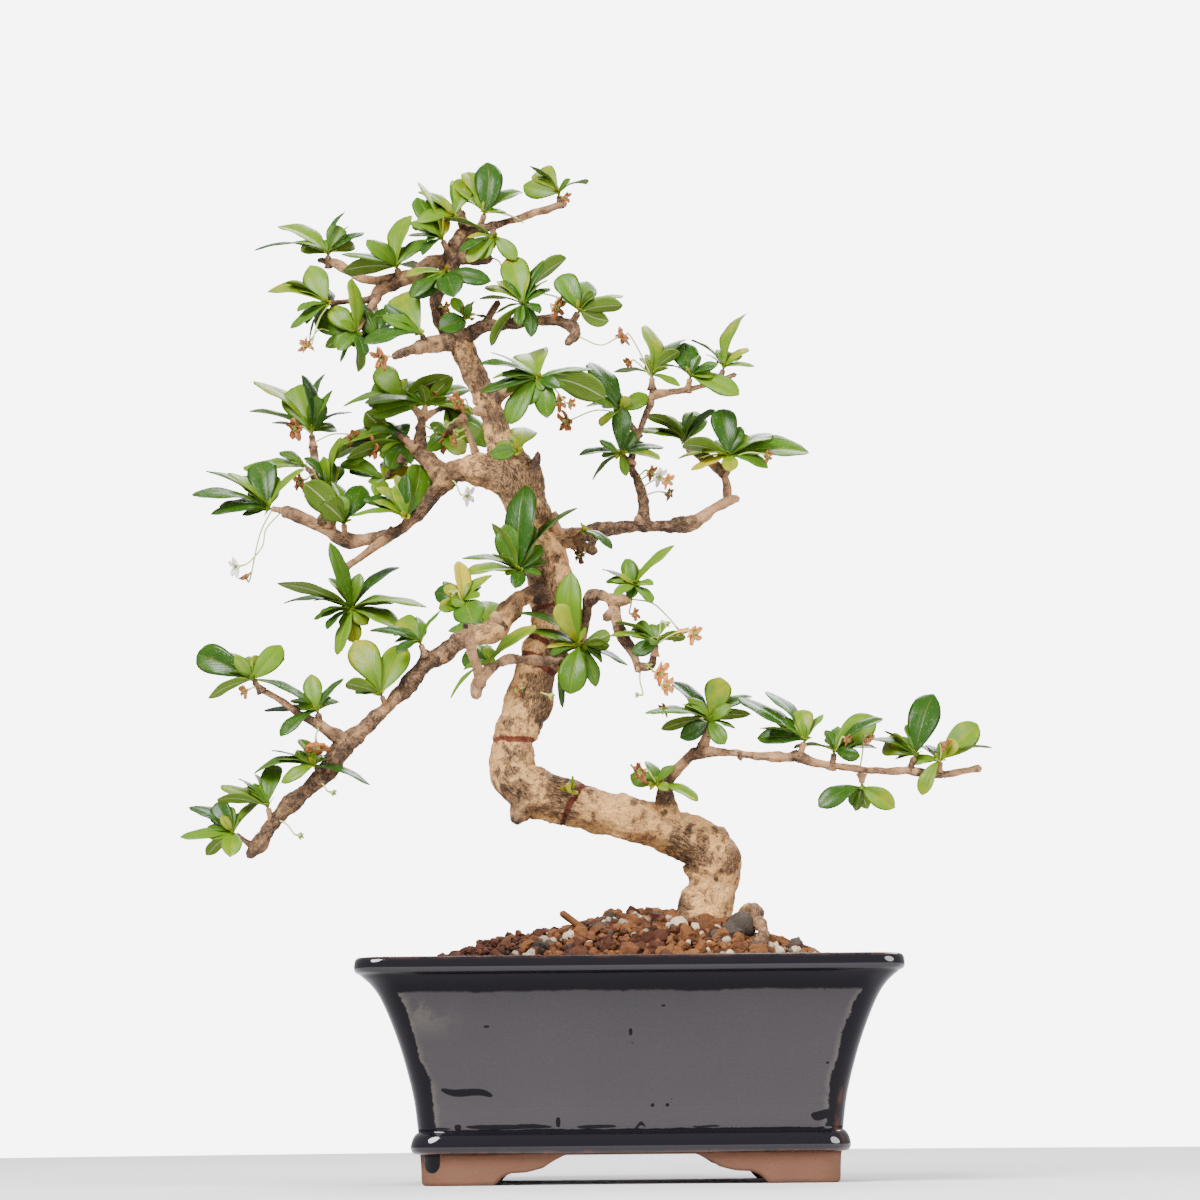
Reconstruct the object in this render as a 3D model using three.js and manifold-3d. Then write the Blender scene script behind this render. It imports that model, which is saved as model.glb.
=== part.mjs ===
// A fukien tea bonsai in a glazed pot: millimetres, +Z up, front towards -Y.
// The pot stands square to the axes, and the trunk rises right of its middle.
import * as THREE from "three";
import { mergeVertices } from "three/addons/utils/BufferGeometryUtils.js";
import Module from "manifold-3d";

const wasm = await Module();
wasm.setup();

// Pot: all widths are half widths, and each depth is the width less POT_NARROWER.
const POT_HEIGHT = 107;
const POT_NARROWER = 33;
const RIM_HALF = 129.5;
const BAND_HALF = 104.5;
const BODY_FOOT_HALF = 100;
const BODY_TOP_HALF = 123.5;
const RIM_BOTTOM = 99.4;
const BAND_BOTTOM = 14.7;
const BAND_TOP = 25;
const WALL = 6.5;
const FLOOR_TOP = 23;
const CORNER_RADIUS = 13;
// Outside of the body from the band up to the rim: half width and height.
const BODY_ROWS = [
  [101, BAND_TOP], [103, 41], [107, 58], [111.3, 72], [116.8, 86], [121.5, 93.7], [127.6, RIM_BOTTOM],
];
const CORNER_STEPS = 3;
const FOOT_WALL = 10;
const FOOT_HALF = 99.5;
const FOOT_LENGTH = 35;
const SIDE_FOOT_LENGTH = 30;
const SIDE_ARCH_NARROW = 0.6;
const DRAIN_RADIUS = 8;
const DRAIN_SPACING = 96;

// Mesh pieces over the drain holes.
const SCREEN_SIDE = 30;
const SCREEN_THICK = 1;
const SCREEN_HOLE = 7;
const SCREEN_PITCH = 5.5;

// Soil mound, with its highest place beside the trunk.
const SOIL_BOTTOM = 24.7;
const SOIL_EDGE = 97;
const SOIL_TOP = 129.5;
const SOIL_PEAK_X = 0;
const SOIL_ROUGHNESS = 1.1;
const SOIL_LONG_PARTS = 7;
const SOIL_SHORT_PARTS = 5;
const DOME_POWER = 1.8;
const DOME_RINGS = [0.91, 0.79, 0.66, 0.52, 0.38, 0.24, 0.1];
const GRAIN_COUNT = 10;
const GRAIN_RADIUS = 2.6;
const GRAIN_SPREAD_X = 100;
const GRAIN_SPREAD_Y = 72;
const PEBBLE_X = 54;
const PEBBLE_Y = -25;
const PEBBLE_RADIUS = 6.2;
const PEBBLE_RISE = 3;

// Clear space between pieces that touch.
const GAP = 0.3;

// The tree's places are read off a front drawing in perspective. The drawing leans a little, so the
// tree is righted about the drawing's middle, and shifted to where it stands in its pot.
const TREE_LEAN = THREE.MathUtils.degToRad(0.55);
const TREE_SHIFT = { right: 7.9, down: 4 };
const DRAWING_MIDDLE = new THREE.Vector3(-20, 0, 291.5);
const EYE = { across: -20, away: 1800, height: 40 };
const SIGHT_PITCH = THREE.MathUtils.degToRad(7.9);
const SIGHT_LENGTH = EYE.away / Math.cos(SIGHT_PITCH);
const SIGHT_HEIGHT = EYE.height + EYE.away * Math.tan(SIGHT_PITCH);

// Leaves: a fukien tea leaf is widest past its middle.
const LEAF_LENGTH_LEAST = 16;
const LEAF_LENGTH_MOST = 34;
const LEAF_SLENDER = 0.38;
const LEAF_BOW = 0.13;
const LEAF_DEPTH_SHARE = 0.35;
const LEAF_KEEL = 1.1;
const LEAF_STATIONS = [[0.34, 0.36], [0.72, 1]];
const LEAF_ROOT_DEPTH = 1.5;
const BUD_RADIUS = 2.8;
const BUD_HEIGHT = 4.4;
const BUD_SIDES = 4;
const SIBLING_CLEAR = 4.5;
const SPUR_RADIUS = 1.3;
const BUD_HEART = 0.45;
const NARROW_SHARE = 0.2;
const NARROW_WIDTH = 0.8;
const HIDDEN_LENGTH = 23;
const HIDDEN_WIDTH = 9;

function randomFrom(seed) {
  let state = seed;
  return () => {
    state = (Math.imul(state, 1664525) + 1013904223) >>> 0;
    return state / 4294967296;
  };
}

// A place in the front drawing (across, up) at a depth behind the trunk's plane, as a point of the tree.
function place([across, depth, up]) {
  const side = across - EYE.across;
  const rise = up - SIGHT_HEIGHT;
  const forward = SIGHT_LENGTH * Math.cos(SIGHT_PITCH) - rise * Math.sin(SIGHT_PITCH);
  const climb = SIGHT_LENGTH * Math.sin(SIGHT_PITCH) + rise * Math.cos(SIGHT_PITCH);
  const reach = (EYE.away + depth) / forward;
  return new THREE.Vector3(EYE.across + side * reach, depth, EYE.height + climb * reach);
}

// Closed solids from geometries, and back.
function solidOf(geometry) {
  const bare = new THREE.BufferGeometry();
  bare.setAttribute("position", geometry.getAttribute("position"));
  bare.setIndex(geometry.getIndex());
  const merged = mergeVertices(bare, 1e-4);
  const vertProperties = new Float32Array(merged.getAttribute("position").array);
  const triVerts = new Uint32Array(merged.getIndex().array);
  const solid = new wasm.Manifold(new wasm.Mesh({ numProp: 3, vertProperties, triVerts }));
  if (solid.volume() >= 0) return solid;
  for (let i = 0; i < triVerts.length; i += 3) {
    [triVerts[i], triVerts[i + 1]] = [triVerts[i + 1], triVerts[i]];
  }
  return new wasm.Manifold(new wasm.Mesh({ numProp: 3, vertProperties, triVerts }));
}

function geometryOf(solid) {
  const mesh = solid.getMesh();
  const geometry = new THREE.BufferGeometry();
  geometry.setAttribute("position", new THREE.Float32BufferAttribute(mesh.vertProperties, 3));
  geometry.setIndex(new THREE.Uint32BufferAttribute(mesh.triVerts, 1));
  geometry.computeVertexNormals();
  return geometry;
}

function joined(solids) {
  return solids.reduce((sum, solid) => sum.add(solid));
}

// A skin over rings that all have the same number of points, closed by a flat fan at each end.
function loft(rings) {
  const sides = rings[0].length;
  const points = rings.flat();
  const faces = [];
  for (let ring = 0; ring + 1 < rings.length; ring += 1) {
    for (let side = 0; side < sides; side += 1) {
      const a = ring * sides + side;
      const b = ring * sides + ((side + 1) % sides);
      faces.push(a, b, b + sides, a, b + sides, a + sides);
    }
  }
  const last = (rings.length - 1) * sides;
  for (let side = 1; side + 1 < sides; side += 1) {
    faces.push(0, side + 1, side);
    faces.push(last, last + side, last + side + 1);
  }
  const geometry = new THREE.BufferGeometry().setFromPoints(points);
  geometry.setIndex(faces);
  return solidOf(geometry);
}

// A rounded tube through stations of a point and a radius, each ring square to the path.
function tube(stations, sides, flute = 0) {
  const tangents = stations.map((_, i) => {
    const before = stations[Math.max(i - 1, 0)].point;
    const after = stations[Math.min(i + 1, stations.length - 1)].point;
    return after.clone().sub(before).normalize();
  });
  let across = new THREE.Vector3(0, 1, 0.03).cross(tangents[0]).normalize();
  const rings = stations.map(({ point, radius }, i) => {
    const along = tangents[i];
    across = across.clone().addScaledVector(along, -across.dot(along)).normalize();
    const up = along.clone().cross(across);
    return Array.from({ length: sides }, (_, side) => {
      const angle = (2 * Math.PI * side) / sides;
      const ridges = Math.sin(3 * angle + 0.8 * i) + 0.5 * Math.sin(2 * angle - 1.7 * i);
      const swell = 1 + flute * ridges;
      return point
        .clone()
        .addScaledVector(across, Math.cos(angle) * radius * swell)
        .addScaledVector(up, Math.sin(angle) * radius * swell);
    });
  });
  return loft(rings);
}

// Pot

function roundedRing(half, z, radius = CORNER_RADIUS) {
  const depth = half - POT_NARROWER;
  const ring = [];
  for (const [cornerX, cornerY, start] of [[1, 1, 0], [-1, 1, 1], [-1, -1, 2], [1, -1, 3]]) {
    for (let step = 0; step <= CORNER_STEPS; step += 1) {
      const angle = (start + step / CORNER_STEPS) * (Math.PI / 2);
      const x = cornerX * (half - radius) + radius * Math.cos(angle);
      const y = cornerY * (depth - radius) + radius * Math.sin(angle);
      ring.push(new THREE.Vector3(x, y, z));
    }
  }
  return ring;
}

// The flare that the inside follows, a wall within it: half width at a height.
function flare(z) {
  const share = Math.max(0, (z - BAND_TOP) / (RIM_BOTTOM - BAND_TOP));
  return BODY_FOOT_HALF + (BODY_TOP_HALF - BODY_FOOT_HALF) * (0.25 * share + 0.75 * share ** 2);
}

// The cloud bracket between two feet: steps inwards from the foot line, and up.
const ARCH_STEPS = [[0, -1], [0, 0], [2, 3.4], [7, 5.6], [15, 6], [22, 7.8], [27, 11], [33, BAND_BOTTOM - 1]];

function potArch(footLine, length, narrow = 1) {
  const shape = new THREE.Shape();
  const left = ARCH_STEPS.map(([inward, z]) => new THREE.Vector2(-footLine + inward * narrow, z));
  const right = ARCH_STEPS.map(([inward, z]) => new THREE.Vector2(footLine - inward * narrow, z)).reverse();
  shape.setFromPoints([...left, ...right]);
  const arch = new THREE.ExtrudeGeometry(shape, { depth: length, steps: 1, bevelEnabled: false });
  arch.translate(0, 0, -length / 2);
  arch.rotateX(Math.PI / 2);
  return arch;
}

// The same ring with its straight sides divided, for a surface that rises and falls along them.
function divided(ring) {
  return ring.flatMap((point, i) => {
    const next = ring[(i + 1) % ring.length];
    const isSide = (i + 1) % (CORNER_STEPS + 1) === 0;
    const isLong = Math.abs(next.x - point.x) > Math.abs(next.y - point.y);
    const parts = isSide ? (isLong ? SOIL_LONG_PARTS : SOIL_SHORT_PARTS) : 1;
    return Array.from({ length: parts }, (_, part) => point.clone().lerp(next, part / parts));
  });
}

function buildPot() {
  const outside = [
    [BAND_HALF - 2.5, BAND_BOTTOM],
    [BAND_HALF, BAND_BOTTOM + 3],
    [BAND_HALF - 0.6, BAND_TOP - 5],
    [BAND_HALF - 2.2, BAND_TOP - 1.2],
    ...BODY_ROWS,
    [RIM_HALF, RIM_BOTTOM + 2.2],
    [RIM_HALF - 0.4, POT_HEIGHT - 1.8],
    [RIM_HALF - 2.8, POT_HEIGHT],
  ];
  const inside = [
    [BODY_TOP_HALF - WALL + 2.5, POT_HEIGHT],
    [BODY_TOP_HALF - WALL + 0.5, POT_HEIGHT - 2],
    ...[RIM_BOTTOM, 84, 64, 44].map((z) => [flare(z) - WALL, z]),
    [flare(FLOOR_TOP) - WALL - 1, FLOOR_TOP],
  ];
  let pot = loft([...outside, ...inside].map(([half, z]) => roundedRing(half, z)));
  const footTop = BAND_BOTTOM + 2;
  const skirtRows = [
    [FOOT_HALF - 1, 0], [FOOT_HALF, 1.5], [FOOT_HALF + 0.6, BAND_BOTTOM - 2], [BAND_HALF - 3, footTop],
  ];
  const skirt = loft(skirtRows.map(([half, z]) => roundedRing(half, z)));
  const hollow = loft([-1, footTop + 1].map((z) => roundedRing(FOOT_HALF - FOOT_WALL, z, 4)));
  const frontArch = solidOf(potArch(FOOT_HALF - FOOT_LENGTH, 4 * FOOT_HALF));
  const sideLine = FOOT_HALF - POT_NARROWER - SIDE_FOOT_LENGTH;
  const sideArch = solidOf(potArch(sideLine, 4 * FOOT_HALF, SIDE_ARCH_NARROW).rotateZ(Math.PI / 2));
  pot = pot.add(skirt.subtract(hollow).subtract(frontArch).subtract(sideArch));
  for (const side of [-1, 1]) {
    const hole = new THREE.CylinderGeometry(DRAIN_RADIUS, DRAIN_RADIUS, 30, 12);
    hole.rotateX(Math.PI / 2);
    hole.translate((side * DRAIN_SPACING) / 2, 0, FLOOR_TOP - 4);
    pot = pot.subtract(solidOf(hole));
  }
  return pot;
}

function buildScreen(side) {
  const middle = [(side * DRAIN_SPACING) / 2, 0, FLOOR_TOP + GAP + SCREEN_THICK / 2];
  const plate = new THREE.BoxGeometry(SCREEN_SIDE, SCREEN_SIDE, SCREEN_THICK);
  plate.translate(...middle);
  let screen = solidOf(plate);
  for (const column of [-1, 1]) {
    for (const row of [-1, 1]) {
      const hole = new THREE.BoxGeometry(SCREEN_HOLE, SCREEN_HOLE, SCREEN_THICK * 4);
      hole.translate(middle[0] + column * SCREEN_PITCH, row * SCREEN_PITCH, middle[2]);
      screen = screen.subtract(solidOf(hole));
    }
  }
  return screen;
}

// Soil

// Height of the mound: a dome over the pot's mouth, flatter on top and steeper towards the rim.
function moundHeight(x, y) {
  const half = BODY_TOP_HALF - WALL;
  const out = Math.hypot((x - SOIL_PEAK_X) / half, y / (half - POT_NARROWER));
  return SOIL_EDGE + (SOIL_TOP - SOIL_EDGE) * Math.max(0, 1 - out ** DOME_POWER);
}

function buildSoil(holes) {
  const random = randomFrom(71);
  const insideAt = (z) => flare(z) - WALL - GAP - 0.2;
  const foot = divided(roundedRing(insideAt(SOIL_BOTTOM) - 1.2, SOIL_BOTTOM));
  const rings = [foot, ...[44, 64, 84].map((z) => divided(roundedRing(insideAt(z), z)))];
  const edge = divided(roundedRing(insideAt(SOIL_EDGE), SOIL_EDGE));
  rings.push(edge);
  for (const share of DOME_RINGS) {
    rings.push(edge.map(({ x, y }) => {
      const z = moundHeight(x * share, y * share) + (random() - 0.5) * 2 * SOIL_ROUGHNESS;
      return new THREE.Vector3(x * share, y * share, z);
    }));
  }
  let soil = loft(rings);
  for (let count = 0; count < GRAIN_COUNT; count += 1) {
    const angle = 2 * Math.PI * random();
    const out = 0.95 * Math.sqrt(random());
    const x = out * GRAIN_SPREAD_X * Math.cos(angle);
    const y = out * GRAIN_SPREAD_Y * Math.sin(angle);
    const grain = new THREE.OctahedronGeometry(GRAIN_RADIUS + 2 * random(), 0);
    grain.rotateX(3 * random());
    grain.rotateY(3 * random());
    grain.translate(x, y, moundHeight(x, y) + 0.9);
    soil = soil.add(solidOf(grain));
  }
  const pebble = new THREE.IcosahedronGeometry(PEBBLE_RADIUS, 1);
  pebble.translate(PEBBLE_X, PEBBLE_Y, moundHeight(PEBBLE_X, PEBBLE_Y) + PEBBLE_RISE);
  soil = soil.add(solidOf(pebble));
  return soil.subtract(joined(holes));
}

// Wood: each limb is a list of [across, depth, up, thickness], from its root outwards.
const TRUNK = [
  [26, 7, 106, 20], [28, 6, 121, 30], [31.5, 5, 132.5, 28], [36, 4, 146.5, 24], [36.5, 3, 157.5, 28],
  [32.5, 1, 167.5, 26], [20, -2, 174, 23], [5, -5, 179.5, 21], [-10, -8, 183, 21], [-25, -9, 187, 22],
  [-40, -8, 191.5, 23.5], [-52.5, -5, 195, 25], [-61.5, -2, 201.5, 24], [-63.5, 0, 209, 23],
  [-63, 2, 219, 20], [-59.5, 4, 231.5, 22], [-55.5, 6, 241.5, 24], [-53.5, 7, 251.5, 23],
  [-47.5, 8, 266.5, 21], [-44, 8, 276.5, 20], [-43.5, 8, 286.5, 21], [-44, 7, 296.5, 22],
  [-46, 6, 306.5, 22], [-48.5, 5, 316.5, 21], [-52.5, 3, 329, 20], [-57.5, 1, 341.5, 21],
  [-61, 0, 351.5, 25], [-66, -1, 361.5, 21], [-70, -2, 371.5, 14], [-73, -3, 381.5, 12.5],
  [-76.5, -4, 391.5, 12], [-82, -4, 401.5, 12], [-86, -4, 411.5, 12], [-90, -3, 420.5, 12],
  [-99, -2, 431.5, 8], [-102, -1, 441.5, 6.5], [-98.5, 0, 449, 7], [-95, 0, 460.5, 11],
  [-89, 2, 471.5, 10], [-84, 3, 478.5, 7],
];
const LIMBS = {
  crownLeft: [
    [-95, 0, 460.5, 8], [-105, 7, 460.5, 8], [-112.5, 13, 454, 7], [-120, 18, 451.5, 8],
    [-130, 18, 446.5, 6], [-133, 13, 442, 4.5],
  ],
  crownLeftPale: [
    [-120, 18, 451.5, 5], [-137.5, 22, 452, 4.5], [-151.5, 31, 459.5, 4.5], [-161.5, 36, 461.5, 2.5],
  ],
  crownStubRight: [[-91, 0, 463, 7], [-80, -4, 462.5, 6], [-73.5, -6, 462.5, 3.5]],
  crownTop: [[-86, 3, 476, 6], [-92.5, 4, 489, 4]],
  crownLong: [[-86, 3, 475, 7], [-76.5, 0, 477.5, 4.5], [-56, 12, 484, 4], [-36.5, 24, 490, 3.5]],
  crownStubLow: [[-88, -3, 422, 5], [-78.5, -4, 429, 4], [-70.5, -6, 441.5, 3]],
  crownLowLeft: [
    [-90, -3, 421, 7], [-105, -14, 419, 7], [-117.5, -27, 415.5, 5], [-124, -33, 413, 2.5],
  ],
  crownRight: [
    [-89, -3, 422, 8], [-80, -9, 427.5, 7], [-70, -12, 429, 6.5], [-60, -16, 430.5, 6.5],
    [-47.5, -22, 431.5, 5.5], [-42.5, -24, 431.5, 6], [-35, -28, 429, 5.5], [-32.5, -30, 424, 6],
    [-37.5, -30, 419, 4.5],
  ],
  highSide: [[-74, -4, 387, 7], [-71.5, -6, 391.5, 6], [-65, -16, 397.5, 6], [-53.5, -30, 399.5, 4.5]],
  highStump: [[-74, -3, 386.5, 6], [-84, -8, 385.5, 5]],
  upperLeft: [
    [-66, 0, 355, 18], [-80, 3, 356.5, 16], [-90, 6, 356.5, 12.5], [-97.5, 9, 351.5, 11],
    [-104, 12, 344, 8], [-110, 15, 336.5, 7], [-115, 18, 331.5, 6], [-120, 20, 326.5, 5.5],
    [-127.5, 23, 324, 5], [-137.5, 26, 321.5, 5.5], [-147.5, 28, 321.5, 7], [-155, 29, 325.5, 6],
    [-165, 30, 330.5, 6.5], [-175, 30, 335, 6], [-180, 30, 336, 4],
  ],
  upperLeftBack: [[-98, 9, 352, 9], [-105, 18, 360.5, 8], [-110, 26, 365.5, 8], [-108.5, 34, 384, 3.5]],
  upperLeftBackTip: [[-110, 26, 366, 5], [-119, 34, 373, 3]],
  upperLeftPale: [[-82, 4, 358, 5], [-82.5, 4, 366, 3.5], [-89.5, 10, 382.5, 3]],
  upperLeftTwig: [
    [-158, 29, 328, 6], [-156, 33, 341.5, 4.5], [-161, 36, 354, 4.5], [-163.5, 40, 370, 4.5],
  ],
  upperLeftKnob: [[-155.5, 29, 327, 5], [-154.5, 29, 341, 5]],
  upperLeftHanging: [
    [-122.5, 22, 326, 5], [-137.5, 25, 314.5, 4], [-146.5, 25, 308, 4], [-147, 26, 301.5, 4.5],
    [-145, 26, 293, 3.5],
  ],
  lowerLeft: [
    [-46, 4, 296, 11], [-57.5, -4, 294, 9], [-66, -11, 285.5, 11], [-71, -16, 277.5, 12.5],
    [-80, -22, 274, 11], [-88.5, -27, 271.5, 9], [-100, -33, 264, 8.5], [-107.5, -37, 259, 8],
    [-117.5, -42, 246.5, 8], [-127.5, -46, 237.5, 7.5], [-137.5, -49, 227.5, 7.5],
    [-147.5, -51, 219, 9], [-157.5, -51, 205.5, 8.5], [-167.5, -50, 195.5, 7.5],
    [-177.5, -48, 187.5, 8.5], [-186, -46, 176.5, 6.5], [-191, -45, 169, 7], [-196.5, -44, 162.5, 4],
  ],
  lowerLeftFork: [
    [-146, -50, 219.5, 8], [-151, -54, 222.5, 7], [-160, -58, 229, 4.5], [-170, -61, 234, 3.8],
    [-180, -64, 241.5, 3.2], [-191, -67, 247.5, 3],
  ],
  lowerLeftStub: [[-104, -36, 261, 5], [-109, -40, 266.5, 4]],
  front: [
    [-47, 2, 264, 7], [-34, -16, 260.5, 5], [-50, -42, 261, 4.5], [-67.5, -62, 261.5, 4.5],
    [-80, -76, 251.5, 6.5], [-82.5, -82, 242, 5],
  ],
  frontUp: [[-80, -74, 254, 5], [-84, -82, 266.5, 4.5], [-86, -87, 281, 5.5]],
  upperRight: [
    [-51, 3, 324, 13], [-38, 6, 323.5, 9], [-20, 13, 326.5, 7.5], [-5, 18, 328.5, 7],
    [10, 23, 328.5, 7.5], [22.5, 28, 329.5, 8.5], [29, 31, 331.5, 7], [37.5, 35, 337.5, 4.8],
    [45, 38, 341.5, 4.5], [50, 40, 342.5, 3],
  ],
  upperRightUnder: [[-42, 5, 321.5, 7], [-33, 6, 319.5, 5.5], [-21, 6, 315.5, 4]],
  upperRightTwig: [
    [2.5, 21, 329, 7], [1.5, 22, 341.5, 5], [-1.5, 24, 351.5, 4.2], [-4.5, 26, 361, 3.5],
    [0, 28, 376.5, 3], [5, 29, 389, 3.5], [7.5, 30, 394, 4.5], [25, 33, 397, 3], [40, 37, 401.5, 2.6],
    [48.5, 39, 404.5, 2.4],
  ],
  upperRightShort: [[7, 30, 393, 4], [6, 30, 399, 3]],
  upperRightEnd: [[44, 38, 341, 4.5], [43.5, 36, 349, 4], [42.5, 34, 354, 4.4], [44, 32, 359, 3.5]],
  upperRightBack: [[43, 34, 354, 4.5], [32.5, 40, 363, 5.5], [25, 50, 367.5, 4]],
  arch: [
    [-46, 6, 268, 8], [-32, -12, 271.5, 6.5], [-27, -26, 284, 6], [-25, -32, 292, 7],
    [-20, -36, 294, 6.2], [-14, -40, 290.5, 6], [-12, -42, 281.5, 5.5], [-9, -44, 274, 5.5],
    [-4, -46, 266, 5], [0, -48, 255, 4],
  ],
  archKnob: [[-15, -40, 290.5, 5.5], [-5, -44, 292, 5.5]],
  archTwig: [[-2, -47, 258.5, 4.5], [5, -49, 258.5, 4], [7.5, -50, 265.5, 3.5]],
  lowerRight: [
    [14, -4, 178, 14], [13.5, -10, 192, 9], [14, -15, 201, 6], [22.5, -22, 210.5, 4.8],
    [30, -26, 215, 5.5], [47.5, -33, 215, 3.8], [60, -37, 213.5, 4.5], [72.5, -39, 213, 5.5],
    [80, -40, 213, 6.3], [87.5, -40, 210, 4.2], [105, -38, 207.5, 3.6], [120, -35, 206, 3.2],
    [135, -31, 206, 4], [147.5, -27, 204, 3.6], [160, -24, 205.5, 3.2], [171, -22, 207.5, 4.5],
  ],
  lowerRightStub: [[30, -26, 215, 5.5], [34.5, -29, 226, 4.5]],
  lowerRightHang: [[110, -37, 207, 3.4], [111, -37, 203, 2.6]],
  surfaceRoot: [
    [32, 4, 120, 9], [44, -3, 121, 7], [53, -12, 132, 5.6], [57, -20, 135.5, 5.2], [60, -28, 129, 5],
    [62, -35, 116, 4.6],
  ],
};
const LIMB_SIDES = 6;
const BOUGH_SIDES = 5;
const TWIG_SIDES = 4;
const SPUR_SIDES = 3;
const LIMB_THICKNESS = 10;
const TWIG_THICKNESS = 6.4;
const TRUNK_SIDES = 8;
const TRUNK_FLUTE = 0.07;

function limb(list, grow = 0, sides = null) {
  const thickest = Math.max(...list.map((station) => station[3]));
  const stations = list.map(([across, depth, up, thickness]) => ({
    point: place([across, depth, up]),
    radius: thickness / 2 + grow,
  }));
  if (sides) return tube(stations, sides, TRUNK_FLUTE);
  if (thickest > LIMB_THICKNESS) return tube(stations, LIMB_SIDES);
  return tube(stations, thickest > TWIG_THICKNESS ? BOUGH_SIDES : TWIG_SIDES);
}

// The short spur that carries a rosette, from the branch to half a gap under the rosette's bud.
function spur({ from, at }, grow = 0) {
  const root = place(from);
  const seat = place(at);
  const along = seat.clone().sub(root).normalize();
  const end = seat.clone().addScaledVector(along, -GAP / 2);
  const stations = [
    { point: root.addScaledVector(along, -1), radius: SPUR_RADIUS + 0.3 + grow },
    { point: end, radius: SPUR_RADIUS + grow },
  ];
  return tube(stations, SPUR_SIDES);
}

function buildWood(rosettes, grow = 0) {
  const limbs = Object.values(LIMBS).map((list) => limb(list, grow));
  const spurs = rosettes.map((rosette) => spur(rosette, grow));
  return joined([limb(TRUNK, grow, TRUNK_SIDES), ...limbs, ...spurs]);
}

// Leaves

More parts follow.
